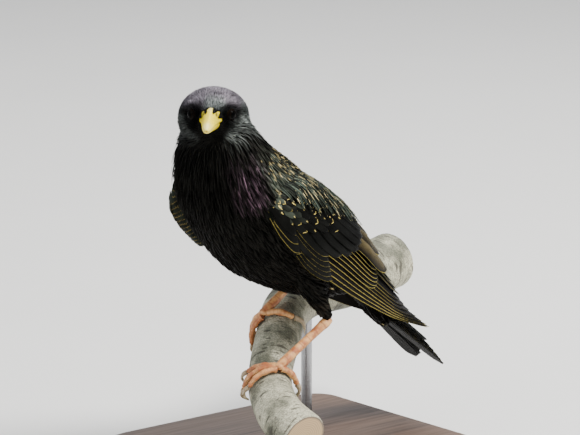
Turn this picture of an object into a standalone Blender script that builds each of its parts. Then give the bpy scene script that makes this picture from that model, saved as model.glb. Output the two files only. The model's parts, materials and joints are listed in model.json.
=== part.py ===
"""A life-size still model of a common starling on a short perch.

Lengths are in millimetres in the code and metres in the file.  The bird frame
used below is (front, left, up), measured from midway between the two feet;
row() turns it into the world frame, where the bird's body faces -Y and the
underside of the stand lies on z = 0.
"""
import math
import random

import bmesh
import bpy
import numpy as np
from mathutils import Vector

SEED = 12
GAP = 0.35                       # clearance between neighbouring nodes
FEET_AT = (8.0, -16.0, 58.0)     # midpoint of the feet in the world frame

HEAD_AT = (36.4, 3.1, 103.2)     # centre of the head, bird frame
HEAD_TURN = 46.8                 # head turned to its left, degrees
HEAD_PITCH = 0.5                 # bill above level, degrees
EYE_AT = (6.5, 8.3, 3.2)         # eye centre in the head frame (front, side, up)
EYE_R = 3.3

# dorsal point, ventral point and half width of each section of the body
BODY = (
    ((-66.0, -0.5), (-60.0, -5.5), 5.0),
    ((-60.0, 7.0), (-53.0, -0.5), 8.0),
    ((-53.0, 17.0), (-45.0, 7.0), 11.0),
    ((-46.0, 27.0), (-37.0, 12.0), 14.5),
    ((-39.0, 38.5), (-26.0, 15.5), 19.5),
    ((-31.8, 50.6), (-10.0, 19.0), 24.5),
    ((-22.8, 63.8), (6.5, 25.0), 27.5),
    ((-11.6, 75.0), (22.0, 33.0), 28.5),
    ((-0.4, 84.3), (35.0, 46.0), 28.0),
    ((8.5, 90.5), (44.0, 60.0), 26.5),
    ((14.5, 97.0), (48.0, 76.0), 22.5),
    ((19.0, 103.0), (47.5, 88.0), 18.5),
    ((25.0, 108.0), (44.0, 98.0), 14.0),
    ((31.0, 110.0), (40.0, 105.0), 8.0),
)
# distance along the head, top, bottom and half width
HEAD = (
    (-16.5, 3.0, -7.0, 5.0),
    (-14.0, 8.0, -12.0, 10.0),
    (-9.0, 12.0, -14.0, 14.0),
    (-3.0, 13.6, -13.0, 15.6),
    (3.0, 13.2, -11.0, 14.2),
    (6.5, 12.0, -10.0, 11.7),
    (10.0, 9.6, -8.6, 9.4),
    (13.0, 7.2, -6.8, 7.4),
    (15.2, 5.2, -5.4, 5.6),
    (16.5, 3.4, -4.2, 4.2),
)
# distance along the head, edge height, outer height and half width of each half of the bill
BILL_UPPER = (
    (9.0, 1.2, 5.6, 5.3), (12.0, 1.2, 6.4, 5.2), (15.0, 1.2, 6.4, 4.5), (20.0, 1.3, 5.6, 3.5),
    (25.0, 1.35, 4.8, 2.9), (31.0, 1.3, 3.8, 2.3), (35.5, 1.2, 2.9, 1.7), (37.6, 1.0, 1.9, 0.9),
)
BILL_LOWER = (
    (9.0, 0.9, -2.6, 4.5), (12.0, 0.9, -2.9, 4.4), (15.0, 0.9, -2.7, 3.9), (20.0, 1.0, -2.0, 3.2),
    (25.0, 1.05, -1.4, 2.7), (31.0, 1.0, -0.8, 2.1), (35.0, 0.9, -0.3, 1.5), (36.8, 0.7, 0.1, 0.8),
)

# folded wing: lower edge and upper edge of its base surface, keyed by distance along the wing;
# the breast feathers cover the bend of the left wing, and the right one stands clear of them
WING_AXIS = (-0.72, -0.10, -0.69)
WING_LOW = {
    "left": (
        (27.5, 20.5, 74.0), (22.0, 23.5, 60.5), (11.5, 25.5, 45.5), (-12.0, 23.0, 28.5), (-41.0, 17.0, 11.5),
        (-56.0, 12.5, 4.5), (-71.0, 9.0, -1.5), (-83.0, 6.8, -5.5),
    ),
    "right": (
        (38.0, 20.5, 76.0), (33.0, 23.5, 61.0), (20.5, 25.5, 46.0), (-12.0, 23.0, 28.5), (-41.0, 17.0, 11.5),
        (-56.0, 12.5, 4.5), (-71.0, 9.0, -1.5), (-83.0, 6.8, -5.5),
    ),
}
WING_HIGH = (
    (20.5, 12.5, 74.0), (4.5, 6.0, 69.5), (-16.0, 4.6, 57.0), (-38.5, 4.4, 31.0),
    (-53.5, 4.2, 16.5), (-68.0, 4.0, 4.0), (-82.0, 4.6, -4.0),
)
WING_BULGE = ((-70.0, 6.5), (-40.0, 9.0), (-11.0, 8.4), (20.0, 5.0), (45.0, 1.6), (64.0, 0.3))
WING_FROM = {"left": (-66.0, -66.0), "right": (-81.0, -68.0)}     # front edge, at its lower and upper end
WING_EDGE = 0.955                # upper limit of the flight feathers, across the wing
VANE = 0.52                      # thickness of a flight feather
STEP_UP = 0.30                   # rise from one feather to the next above it
TILT = 0.36                      # slope across a feather, outward at its lower edge
PRIMARY_TIPS = (61.0, 62.0, 58.0, 52.0, 46.0, 41.0, 36.0, 31.0)
SECONDARY_TIPS = (15.0, 17.0, 19.0, 21.0, 22.0, 20.0, 14.0)
COVERT_COUNT = 8
COVERT_TILT = 0.18

TAIL_ROOT = (-43.0, 0.0, 16.5)
TAIL_TIP = (-88.6, 0.0, -20.0)
TAIL_PAIRS = 6
TAIL_NOTCH = 7.0
TAIL_STEP = 0.88                 # drop from one tail feather to the next

# centre line of the perch and its radius
PERCH = (
    ((-113.0, -51.0, 11.2), 13.0), ((-79.0, -43.4, 7.9), 12.3), ((-49.0, -36.9, 7.2), 11.4),
    ((-27.7, -26.3, 3.5), 10.9), ((-13.8, -13.9, -1.8), 10.2), ((8.5, 7.2, -18.8), 9.8),
    ((14.5, 18.0, -23.0), 10.0), ((19.2, 29.6, -26.0), 10.3), ((20.5, 44.0, -30.5), 10.8),
)
BASE_SIZE = (112.0, 128.0, 10.0)
BASE_TOP = 10.0
ROD_R = 2.5
ROD_NEAR = (15.2, 19.5)
ROD_FAR = (-50.0, -35.0)

ANKLE = {"left": (-17.4, 15.0, 9.4), "right": (-30.0, -13.0, 27.0)}
FOOT_TURN = {"left": -15.0, "right": 27.0}


def row(p):
    """Turn a point of the bird frame into the world frame, still in millimetres."""
    f, l, u = p
    return np.array((l + FEET_AT[0], -f + FEET_AT[1], u + FEET_AT[2]))


def unit(v):
    v = np.asarray(v, float)
    return v / max(np.linalg.norm(v), 1e-12)


def clear_scene():
    for obj in list(bpy.data.objects):
        bpy.data.objects.remove(obj, do_unlink=True)


def follow(keys, values, at):
    """Smooth curve through the values at the keys, by cubic Hermite pieces."""
    keys = np.asarray(keys, float)
    values = np.asarray(values, float)
    if values.ndim == 1:
        return follow(keys, values[:, None], at)[..., 0]
    at = np.asarray(at, float)
    slopes = np.gradient(values, keys, axis=0)
    i = np.clip(np.searchsorted(keys, at) - 1, 0, len(keys) - 2)
    h = keys[i + 1] - keys[i]
    s = (at - keys[i]) / h
    low = s < 0.0
    high = s > 1.0
    t = np.clip(s, 0.0, 1.0)[..., None]
    hh = h[..., None]
    a, b = values[i], values[i + 1]
    ma, mb = slopes[i] * hh, slopes[i + 1] * hh
    out = (2 * t ** 3 - 3 * t ** 2 + 1) * a + (t ** 3 - 2 * t ** 2 + t) * ma
    out = out + (-2 * t ** 3 + 3 * t ** 2) * b + (t ** 3 - t ** 2) * mb
    out = out + np.where(low, s, 0.0)[..., None] * ma + np.where(high, s - 1.0, 0.0)[..., None] * mb
    return out


def make(name, points, faces):
    """A closed triangle mesh with its faces turned outward, in millimetres in, metres out."""
    pts = np.asarray(points, float)
    tri = np.asarray(faces, int)
    a, b, c = pts[tri[:, 0]], pts[tri[:, 1]], pts[tri[:, 2]]
    if np.einsum("ij,ij->i", a, np.cross(b, c)).sum() < 0.0:
        tri = tri[:, ::-1]
    mesh = bpy.data.meshes.new(name)
    mesh.from_pydata([tuple(p) for p in pts * 0.001], [], [tuple(int(i) for i in f) for f in tri])
    mesh.update()
    obj = bpy.data.objects.new(name, mesh)
    bpy.context.scene.collection.objects.link(obj)
    return obj


def loft(name, rings, dome=0.0):
    """Closed solid through rings with equal numbers of points; the ends may be domed."""
    rings = np.asarray(rings, float)
    n, m = rings.shape[:2]
    points = [p for ring in rings for p in ring]
    faces = []
    for i in range(n - 1):
        for j in range(m):
            k = (j + 1) % m
            a, b = i * m + j, i * m + k
            c, d = (i + 1) * m + j, (i + 1) * m + k
            faces += [(a, b, d), (a, d, c)]
    for end, inner in ((0, 1), (n - 1, n - 2)):
        mid = rings[end].mean(0)
        out = unit(mid - rings[inner].mean(0))
        points.append(mid + out * dome)
        top = len(points) - 1
        for j in range(m):
            a, b = end * m + j, end * m + (j + 1) % m
            faces.append((b, a, top) if end == 0 else (a, b, top))
    return make(name, points, faces)


def frames(path, up):
    """Directions along a path, with two cross directions carried smoothly along it."""
    path = np.asarray(path, float)
    along = np.gradient(path, axis=0)
    along /= np.linalg.norm(along, axis=1)[:, None]
    side = np.zeros_like(path)
    over = np.asarray(up, float)
    for i, d in enumerate(along):
        over = unit(over - d * over.dot(d))
        side[i] = over
    return along, side, np.cross(along, side)


def tube_rings(path, radii, sides, up=(0.0, 0.0, 1.0), flat=1.0, wobble=None):
    along, over, across = frames(path, up)
    rings = []
    for i, p in enumerate(path):
        ring = []
        for j in range(sides):
            t = 2 * math.pi * j / sides
            r = radii[i] * (1.0 if wobble is None else wobble(i, t))
            ring.append(p + over[i] * r * math.cos(t) + across[i] * r * flat * math.sin(t))
        rings.append(ring)
    return rings


def swell(obj, by):
    """A copy of the object, moved outward by a few tenths, for cutting its neighbours."""
    mesh = obj.data.copy()
    grown = bpy.data.objects.new(obj.name + "_grown", mesh)
    bpy.context.scene.collection.objects.link(grown)
    bm = bmesh.new()
    bm.from_mesh(mesh)
    bmesh.ops.recalc_face_normals(bm, faces=bm.faces[:])
    bm.normal_update()
    moves = []
    for v in bm.verts:
        factor = min(v.calc_shell_factor(), 2.0)
        moves.append(v.normal * factor * by * 0.001)
    for v, move in zip(bm.verts, moves):
        v.co += move
    bm.to_mesh(mesh)
    bm.free()
    return grown


def combine(obj, others, how, solver="MANIFOLD", drop=True):
    """Boolean of one object with a list of others, applied."""
    group = bpy.data.collections.new(obj.name + "_with")
    bpy.context.scene.collection.children.link(group)
    for other in others:
        group.objects.link(other)
    mod = obj.modifiers.new("combine", "BOOLEAN")
    mod.operation = how
    mod.operand_type = "COLLECTION"
    mod.collection = group
    mod.solver = solver
    graph = bpy.context.evaluated_depsgraph_get()
    done = bpy.data.meshes.new_from_object(obj.evaluated_get(graph))
    obj.modifiers.remove(mod)
    old = obj.data
    obj.data = done
    bpy.data.meshes.remove(old)
    for other in list(group.objects):
        if drop:
            bpy.data.objects.remove(other, do_unlink=True)
        else:
            group.objects.unlink(other)
    bpy.data.collections.remove(group)
    return obj


def triangles(obj):
    bm = bmesh.new()
    bm.from_mesh(obj.data)
    bmesh.ops.remove_doubles(bm, verts=bm.verts[:], dist=2e-6)
    bmesh.ops.dissolve_degenerate(bm, edges=bm.edges[:], dist=2e-6)
    bmesh.ops.triangulate(bm, faces=bm.faces[:])
    bm.to_mesh(obj.data)
    bm.free()


def biggest(obj, flat=0.0):
    """Keep only the largest closed surface of a mesh; flat joins faces within that many degrees first."""
    triangles(obj)
    if flat:
        bm = bmesh.new()
        bm.from_mesh(obj.data)
        bmesh.ops.dissolve_limit(bm, angle_limit=math.radians(flat), verts=bm.verts[:], edges=bm.edges[:])
        bm.to_mesh(obj.data)
        bm.free()
        triangles(obj)
    bm = bmesh.new()
    bm.from_mesh(obj.data)
    bm.verts.ensure_lookup_table()
    seen = set()
    groups = []
    for start in bm.verts:
        if start.index in seen:
            continue
        stack = [start]
        seen.add(start.index)
        found = []
        while stack:
            v = stack.pop()
            found.append(v)
            for e in v.link_edges:
                w = e.other_vert(v)
                if w.index not in seen:
                    seen.add(w.index)
                    stack.append(w)
        groups.append(found)
    if len(groups) > 1:
        def span(found):
            pts = np.array([v.co[:] for v in found])
            return float(np.prod(pts.max(0) - pts.min(0) + 1e-6))
        keep = max(groups, key=span)
        for found in groups:
            if found is not keep:
                bmesh.ops.delete(bm, geom=found, context="VERTS")
    bmesh.ops.recalc_face_normals(bm, faces=bm.faces[:])
    bm.to_mesh(obj.data)
    bm.free()
    return obj


def sliced(obj, name, cuts):
    """A copy of the object kept on the inner side of each plane (point, outward normal)."""
    mesh = obj.data.copy()
    mesh.name = name
    part = bpy.data.objects.new(name, mesh)
    bpy.context.scene.collection.objects.link(part)
    for point, normal in cuts:
        bm = bmesh.new()
        bm.from_mesh(mesh)
        geom = bm.verts[:] + bm.edges[:] + bm.faces[:]
        cut = bmesh.ops.bisect_plane(
            bm, geom=geom, dist=1e-7, plane_co=Vector(np.asarray(point) * 0.001),
            plane_no=Vector(unit(normal)), clear_outer=True,
        )
        edges = [e for e in cut["geom_cut"] if isinstance(e, bmesh.types.BMEdge)]
        bmesh.ops.holes_fill(bm, edges=edges, sides=0)
        bmesh.ops.triangulate(bm, faces=bm.faces[:])
        bmesh.ops.recalc_face_normals(bm, faces=bm.faces[:])
        bm.to_mesh(mesh)
        bm.free()
    return part


def body_solid():
    """Breast, belly, back, rump and neck as one loft through the sections."""
    keys = np.arange(len(BODY), dtype=float)
    table = np.array([(*d, *v, a) for d, v, a in BODY])
    rings = []
    for s in np.linspace(0.0, len(BODY) - 1.0, 21):
        df, du, vf, vu, a = follow(keys, table, np.array(s))
        top, low = np.array((df, 0.0, du)), np.array((vf, 0.0, vu))
        mid, half = (top + low) / 2, (top - low) / 2
        ring = []
        for j in range(24):
            t = 2 * math.pi * j / 24
            c, w = math.cos(t), math.sin(t)
            ring.append(row(mid + half * c + np.array((0.0, a, 0.0)) * w))
        rings.append(ring)
    return loft("body", rings, 1.0)


def head_point(f, s, u):
    """Point of the head frame in the world frame."""
    turn, pitch = math.radians(HEAD_TURN), math.radians(HEAD_PITCH)
    ahead = np.array((math.cos(turn) * math.cos(pitch), math.sin(turn) * math.cos(pitch), math.sin(pitch)))
    side = np.array((-math.sin(turn), math.cos(turn), 0.0))
    over = np.cross(ahead, side)
    return row(np.array(HEAD_AT) + ahead * f + side * s + over * u)


def head_solid():
    table = np.array(HEAD)
    keys = table[:, 0]
    rings = []
    for f in np.linspace(keys[0], keys[-1], 14):
        top, low, wide = follow(keys, table[:, 1:], np.array(f))
        ring = []
        for j in range(22):
            t = 2 * math.pi * j / 22
            c, w = math.cos(t), math.sin(t)
            ring.append(head_point(f, wide * w, (top + low) / 2 + (top - low) / 2 * c))
        rings.append(ring)
    return loft("head", rings, 0.6)


def bill_half(name, table, sides=12):
    """One half of the bill: flat along the edge of the mouth, rounded outside."""
    rings = []
    for f, edge, outer, wide in table:
        ring = []
        for j in range(sides):
            t = math.pi * j / (sides - 1)
            ring.append(head_point(f, wide * math.cos(t), edge + (outer - edge) * max(math.sin(t), 0.0) ** 0.85))
        rings.append(ring)
    return loft(name, rings, 0.25)


def sphere(name, centre, radius, rings=12, sides=16, squash=1.0):
    """Round solid about a world point."""
    path = []
    radii = []
    for i in range(1, rings):
        t = math.pi * i / rings
        path.append(np.asarray(centre) + np.array((0.0, 0.0, -math.cos(t) * radius * squash)))
        radii.append(math.sin(t) * radius)
    loops = []
    for p, r in zip(path, radii):
        loops.append([p + np.array((math.cos(2 * math.pi * j / sides), math.sin(2 * math.pi * j / sides), 0.0)) * r
                      for j in range(sides)])
    low = radius * squash * (1 - math.cos(math.pi / rings))
    return loft(name, loops, low)


def lid_ring(sign):
    """The rim of the eyelids, a low ring about the eye."""
    f, s, u = EYE_AT
    centre = head_point(f, s * sign, u)
    out = unit(head_point(f + 0.34, (s + 0.93) * sign, u + 0.1) - centre)
    over = unit(np.array((0.0, 0.0, 1.0)) - out * out[2])
    across = np.cross(out, over)
    points = []
    faces = []
    n, m = 14, 5
    for i in range(n):
        a = 2 * math.pi * i / n
        way = over * math.cos(a) * 0.94 + across * math.sin(a)
        for j in range(m):
            b = 2 * math.pi * j / m
            points.append(centre + out * (2.05 + 0.55 * math.sin(b)) + way * (2.85 + 0.62 * math.cos(b)))
    for i in range(n):
        for j in range(m):
            a, b = i * m + j, i * m + (j + 1) % m
            c, d = ((i + 1) % n) * m + j, ((i + 1) % n) * m + (j + 1) % m
            faces += [(a, b, d), (a, d, c)]
    return make("lid", points, faces)


def wing_place(side, tau, v, n):
    """Point of the folded wing: distance along it, place across it, height off its base surface."""
    sign = 1.0 if side == "left" else -1.0
    axis = unit(WING_AXIS)
    low, high = np.array(WING_LOW[side]), np.array(WING_HIGH)
    a = follow(low @ axis, low, np.array(tau))
    b = follow(high @ axis, high, np.array(tau))
    bulge = follow([k for k, _ in WING_BULGE], [w for _, w in WING_BULGE], np.array(tau))
    chord = b - a
    out = unit(np.cross(axis, chord))
    if out[1] < 0:
        out = -out
    p = a + chord * v + out * 4 * v * (1 - v) * bulge
    slope = chord + out * 4 * (1 - 2 * v) * bulge
    normal = unit(np.cross(axis, slope))
    if normal.dot(out) < 0:
        normal = -normal
    p = p + normal * n
    return row((p[0], max(p[1], 0.45) * sign, p[2]))


def wing_chord(tau):
    axis = unit(WING_AXIS)
    low, high = np.array(WING_LOW["left"]), np.array(WING_HIGH)
    a = follow(low @ axis, low, np.array(tau))
    b = follow(high @ axis, high, np.array(tau))
    bulge = follow([k for k, _ in WING_BULGE], [w for _, w in WING_BULGE], np.array(tau))
    flat = float(np.linalg.norm(b - a))
    return flat * (1 + 2.67 * (float(bulge) / flat) ** 2)


def feather_steps(tau):
    """Spacing across the wing of the flight feathers, and of the last three, at this distance."""
    chord = wing_chord(tau)
    step = float(np.interp(tau, (-70.0, -11.0, 5.0, 64.0), (2.3, 2.0, 1.78, 1.76)))
    last = float(np.interp(tau, (-11.0, 2.0, 14.0, 22.0), (3.1, 3.0, 2.0, 1.78)))
    return step / chord, last / chord


def feather_line(k, tau):
    """Place across the wing of the middle of feather k, counted from the lower edge."""
    step, last = feather_steps(tau)
    return 0.10 + min(k, 11) * step + max(k - 11, 0) * last


def feather_height(k, q):
    return 1.7 + STEP_UP * k - TILT * q


def wing_vane(name, side, k, start, tip, width, rows=7):
    """One flight feather: a thin curved slab over the base surface of the wing."""
    taus = start + (tip - start) * (np.linspace(0.0, 1.0, rows) ** 0.9)
    rings = []
    for i, tau in enumerate(taus):
        s = (tau - start) / (tip - start)
        half = 0.5 * width * max(1.0 - s ** 5, 0.0) * (0.86 + 0.14 * min(s * 3, 1.0))
        half = max(half, 0.55)
        mid = feather_line(k, min(tau, tip))
        chord = wing_chord(tau)
        under, over = [], []
        room = (WING_EDGE - mid) * chord
        for q in (-half, min(0.0, room - 0.6), min(half, room)):
            h = feather_height(k, q)
            under.append(wing_place(side, tau, mid + q / chord, h))
            over.append(wing_place(side, tau, mid + q / chord, h + VANE))
        rings.append(over + under[::-1])
    return strip_solid(name, rings)


def strip_solid(name, rings):
    """Closed slab from rings of over points then under points, cut alike on both faces."""
    rings = np.asarray(rings, float)
    n, m = rings.shape[:2]
    w = m // 2
    points = [p for ring in rings for p in ring]
    faces = []
    for i in range(n - 1):
        a0, b0 = i * m, (i + 1) * m
        for j in range(w - 1):
            o0, o1, p0, p1 = a0 + j, a0 + j + 1, b0 + j, b0 + j + 1
            u0, u1 = a0 + m - 1 - j, a0 + m - 2 - j
            v0, v1 = b0 + m - 1 - j, b0 + m - 2 - j
            faces += [(o0, o1, p1), (o0, p1, p0), (u1, u0, v1), (u0, v0, v1)]
        faces += [(a0 + w - 1, a0 + w, b0 + w), (a0 + w - 1, b0 + w, b0 + w - 1)]
        faces += [(a0 + m - 1, a0, b0), (a0 + m - 1, b0, b0 + m - 1)]
    for end in (0, n - 1):
        b0 = end * m
        for j in range(w - 1):
            o0, o1 = b0 + j, b0 + j + 1
            u0, u1 = b0 + m - 1 - j, b0 + m - 2 - j
            quad = [(o1, o0, u0), (o1, u0, u1)]
            faces += quad if end == 0 else [f[::-1] for f in quad]
    return make(name, points, faces)


def wing_block(name, side, taus, low, high, bottom, top, across=7):
    """The closed root of a row of feathers, between two heights over the base surface."""
    rings = []
    for tau in taus:
        v0, v1 = low(tau), high(tau)
        vs = np.linspace(v0, v1, across)
        over = [wing_place(side, tau, v, top(tau, v)) for v in vs]
        under = [wing_place(side, tau, v, bottom(tau, v)) for v in vs]
        rings.append(over + under[::-1])
    return strip_solid(name, rings)


def layer(tau, v):
    """Which feather lies at a place across the wing, as a fraction."""
    step, last = feather_steps(tau)
    k = (v - 0.10) / step
    if k > 11.0:
        k = 11.0 + (v - 0.10 - 11.0 * step) / last
    return max(0.0, min(14.0, k))


def crown(tau, v):
    """Height that covers every flight feather at this place."""
    return 4.4 + STEP_UP * layer(tau, v)


def primary_crown(tau, v):
    """The same for the primaries alone, below the first secondary."""
    k = layer(tau, v)
    step = feather_steps(tau)[0] * wing_chord(tau)
    return min(crown(tau, v), 1.7 + STEP_UP * 8 + TILT * step * (8.0 - k) - GAP)


def pin(tau):
    """Place across the wing where the primaries end and the secondaries begin."""
    return 0.5 * (feather_line(7, tau) + feather_line(8, tau))


def wing_nodes(side, rng):
    """Primaries and secondaries of one folded wing, each with the root block alone as well."""
    out = []
    rows = (
        ("primaries", (-41.0, -35.0, -28.5, -21.5, -14.0, -6.0, 4.0), 0, PRIMARY_TIPS, 0.0, 7.2, -0.1),
        ("secondaries", (-40.0, -34.0, -28.0, -22.0, -16.0, -12.0), 8, SECONDARY_TIPS, -16.0, 7.4, 0.3),
    )
    for name, taus, first, tips, start, width, change in rows:
        low = (lambda tau: 0.02) if first == 0 else (lambda tau: pin(tau) + GAP / wing_chord(tau))
        high = (lambda tau: pin(tau) - GAP / wing_chord(tau)) if first == 0 else (lambda tau: 0.97)
        top = primary_crown if first == 0 else crown
        block = wing_block(f"wing_{side}_{name}", side, taus, low, high, lambda tau, v: -1.6, top)
        grown = swell(block, GAP)
        vanes = []
        for j, tip in enumerate(tips):
            k = first + j
            end = tip + rng.uniform(-0.4, 0.4)
            vanes.append(wing_vane(f"v{k}", side, k, start, end, width + change * j, 6))
        combine(block, vanes, "UNION")
        biggest(block)
        out.append((block, grown))
    return out


def covert_edge(v):
    """Where the greater coverts end, along the wing, for a place across it."""
    return -42.0 + 46.0 * v


def covert_vane(name, side, j):
    """One greater covert, lying over the roots of the flight feathers."""
    step = 0.92 / (COVERT_COUNT - 0.6)
    mid = 0.06 + step * j
    tip = covert_edge(mid) + 1.5
    start = tip - 17.0
    rings = []
    for i, tau in enumerate(np.linspace(start, tip, 5)):
        s = i / 4.0
        chord = wing_chord(tau)
        half = 0.5 * 6.4 * (1.0 - 0.75 * s ** 4)
        under, over = [], []
        for q in (-half, 0.0, half):
            v = mid + q / chord
            h = max(crown(tau, mid), crown(tau, v)) + 2.2 * GAP + 0.45 - COVERT_TILT * q
            under.append(wing_place(side, tau, v, h))
            over.append(wing_place(side, tau, v, h + VANE))
        rings.append(over + under[::-1])
    return strip_solid(name, rings)


def covert_shell(side):
    """Shoulder and coverts: a shell over the roots of the flight feathers, with a row of coverts."""
    rings = []
    for s in np.linspace(0.0, 1.0, 9):
        over, under = [], []
        for v in np.linspace(0.0, 1.0, 8):
            start = WING_FROM[side][0] + (WING_FROM[side][1] - WING_FROM[side][0]) * v
            tau = start + s * (covert_edge(v) - 8.0 - start)
            fore = min(1.0, max(0.0, (tau - start) / 13.0))
            floor = crown(tau, v) + 2.2 * GAP if tau > -50.0 else -1.6
            lid = crown(tau, v) + GAP + 1.7
            rise = -0.5 + (lid + 0.5) * math.sin(0.5 * math.pi * fore) ** 0.7
            over.append(wing_place(side, tau, v, max(rise, floor + 0.8)))
            under.append(wing_place(side, tau, v, floor))
        rings.append(over + under[::-1])
    shell = strip_solid(f"wing_{side}_coverts", rings)
    grown = swell(shell, GAP)
    combine(shell, [covert_vane(f"c{j}", side, j) for j in range(COVERT_COUNT)], "UNION")
    biggest(shell)
    return shell, grown


def tail_point(s, across, up):
    """Point of the tail: distance from its root, sideways, and above its middle plane."""
    root, tip = np.array(TAIL_ROOT), np.array(TAIL_TIP)
    along = unit(tip - root)
    over = unit(np.cross(np.array((0.0, 1.0, 0.0)), along))
    if over[2] < 0:
        over = -over
    return row(root + along * s + np.array((0.0, 1.0, 0.0)) * across + over * up)


def tail_length():
    return float(np.linalg.norm(np.array(TAIL_TIP) - np.array(TAIL_ROOT)))


def tail_vane(name, sign, j, rng):
    """Tail feather j of one side, 0 beside the middle; each lies below its inner neighbour."""
    full = tail_length() + 1.0 - TAIL_NOTCH * (1.0 - j / (TAIL_PAIRS - 1.0)) ** 1.3 + rng.uniform(-0.4, 0.4)
    start = 16.6
    lift = 3.3 - TAIL_STEP * j + (TAIL_STEP if j == 0 and sign > 0 else 0.0)
    rings = []
    for s in np.linspace(start, full, 6):
        t = (s - start) / (full - start)
        mid = 0.6 + j * (0.30 + 1.25 * t)
        half = (2.4 + 2.4 * t) * max(1.0 - t ** 7, 0.0) + 0.55 * t
        over, under = [], []
        for q in (-half, 0.0, half):
            x = mid + q
            if j > 0:
                x = max(x, 0.3 + 0.25 * (q + half))
            h = lift - 0.07 * max(x, 0.0) * t
            over.append(tail_point(s, sign * x, h + VANE))
            under.append(tail_point(s, sign * x, h))
        rings.append(over + under[::-1])
    return strip_solid(name, rings)


def limb(name, path, radii, sides=10, flat=1.0, dome=0.3):
    return loft(name, tube_rings(np.array(path), radii, sides, (0.3, 0.1, 1.0), flat), dome)


def along_perch(s):
    """Centre of the perch and its radius, s running 0 to 1 from the far end."""
    pts = np.array([row(p) for p, _ in PERCH])
    rad = np.array([r for _, r in PERCH])
    keys = np.concatenate([[0.0], np.cumsum(np.linalg.norm(np.diff(pts, axis=0), axis=1))])
    keys /= keys[-1]
    return follow(keys, pts, np.array(s)), float(follow(keys, rad, np.array(s)))


def perch_frame(s):
    """Centre, radius, direction, forward across and up across of the perch at s."""
    c, r = along_perch(s)
    d = unit(along_perch(s + 0.004)[0] - along_perch(s - 0.004)[0])
    up = unit(np.array((0.0, 0.0, 1.0)) - d * d[2])
    ahead = np.cross(up, d)
    if ahead[1] > 0:
        ahead = -ahead
    return c, r, d, ahead, up


def perch_length():
    pts = np.array([row(p) for p, _ in PERCH])
    return float(np.linalg.norm(np.diff(pts, axis=0), axis=1).sum())


def perch_at_foot(side):
    """Where along the perch a foot stands: at its fifth or sixth point."""
    pts = np.array([row(p) for p, _ in PERCH[:6 if side == "left" else 5]])
    return float(np.linalg.norm(np.diff(pts, axis=0), axis=1).sum()) / perch_length()


def foot_place(side, arc, drift, lift):
    """Point round the perch: arc in degrees from the foot joint, forward positive; drift along the perch."""
    s0 = perch_at_foot(side)
    c, r, d, ahead, up = perch_frame(s0 + drift / perch_length())
    a = math.radians(arc + FOOT_TURN[side])
    return c + (up * math.cos(a) + ahead * math.sin(a)) * (r + lift)


# arc reached by the toe, drift along the perch at its root and end, radius, claw length in degrees
TOES = {
    "inner": (74.0, 1.6, 5.2, 1.15, 34.0),
    "middle": (104.0, 0.0, 0.6, 1.25, 32.0),
    "outer": (80.0, -1.6, -4.6, 1.15, 32.0),
    "hind": (-64.0, 0.0, 0.4, 1.35, -44.0),
}


def toe_path(side, toe, count=8):
    reach, d0, d1, r, claw = TOES[toe]
    sign = -1.0 if side == "left" else 1.0
    start = 6.0 if reach > 0 else -6.0
    path, radii = [], []
    for i in range(count):
        t = i / (count - 1.0)
        arc = start + (reach - start) * t
        drift = sign * (d0 + (d1 - d0) * t)
        knuckle = 0.16 * math.cos(6.0 * math.pi * t)
        radii.append(r * (1.0 - 0.14 * t + knuckle * 0.6))
        path.append(foot_place(side, arc, drift, r * 1.12 + GAP + 0.5 * (1 - t)))
    return np.array(path), radii


def claw_solid(side, toe):
    reach, d0, d1, r, claw = TOES[toe]
    sign = -1.0 if side == "left" else 1.0
    begin = reach + math.copysign(4.5, claw)
    path, radii = [], []
    for i in range(7):
        t = i / 6.0
        arc = begin + claw * t
        lift = r * 1.12 + GAP + 1.5 * math.sin(math.pi * min(t * 1.15, 1.0)) * (1 - 0.3 * t) - 0.55 * t
        path.append(foot_place(side, arc, sign * (d1 + 0.15 * t), lift))
        radii.append(0.92 * (1.0 - t) ** 0.7 * (r / 1.2) + 0.14)
    return limb(f"claw_{side}_{toe}", path, radii, 7, 0.8, 0.1)


def foot_nodes(side):
    joint = foot_place(side, 0.0, 0.0, 2.9)
    core = sphere(f"foot_{side}", joint, 2.1, 7, 10, 0.85)
    toes = []
    for toe in TOES:
        path, radii = toe_path(side, toe)
        toes.append(limb(f"toe_{toe}", path, radii, 7, 0.92, 0.35))
    combine(core, toes, "UNION")
    biggest(core)
    for toe in TOES:
        claw_solid(side, toe)
    return core, joint


def leg_nodes(side, joint):
    ankle = row(ANKLE[side])
    along = unit(ankle - joint)
    low = joint + along * 2.85
    path = [low + (ankle - low) * t for t in np.linspace(0.0, 1.0, 9)]
    radii = [1.75, 1.45, 1.25, 1.15, 1.15, 1.2, 1.35, 1.6, 1.85]
    shank = limb(f"tarsus_{side}", path, radii, 10, 0.8, 0.5)
    return shank


def thigh_solid(side):
    a = np.array(ANKLE[side]) if side == "left" else np.array((-21.0, -13.0, 18.5))
    top = a + np.array((14.0, 0.0, 25.0)) if side == "left" else a + np.array((9.0, 2.0, 17.0))
    low = a + np.array((0.4, 0.0, 1.2)) if side == "left" else a
    path = [row(low + (top - low) * t) for t in np.linspace(0.0, 1.0, 7)]
    radii = [2.7, 3.5, 4.3, 5.2, 6.4, 7.2, 7.4]
    return limb(f"thigh_{side}", path, radii, 14, 1.0, 0.4)


def perch_solid():
    rng = random.Random(SEED + 1)
    phase = [rng.uniform(0.0, 6.28) for _ in range(6)]
    path, radii = [], []
    for s in np.linspace(0.0, 1.0, 17):
        c, r = along_perch(s)
        path.append(c)
        radii.append(r)

    def wobble(i, t):
        w = 0.012 * math.sin(2 * t + phase[0] + i * 0.21) + 0.008 * math.sin(3 * t + phase[1] - i * 0.33)
        return 1.0 + w - 0.012

    return loft("perch", tube_rings(np.array(path), radii, 18, wobble=wobble), 0.0)


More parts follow.
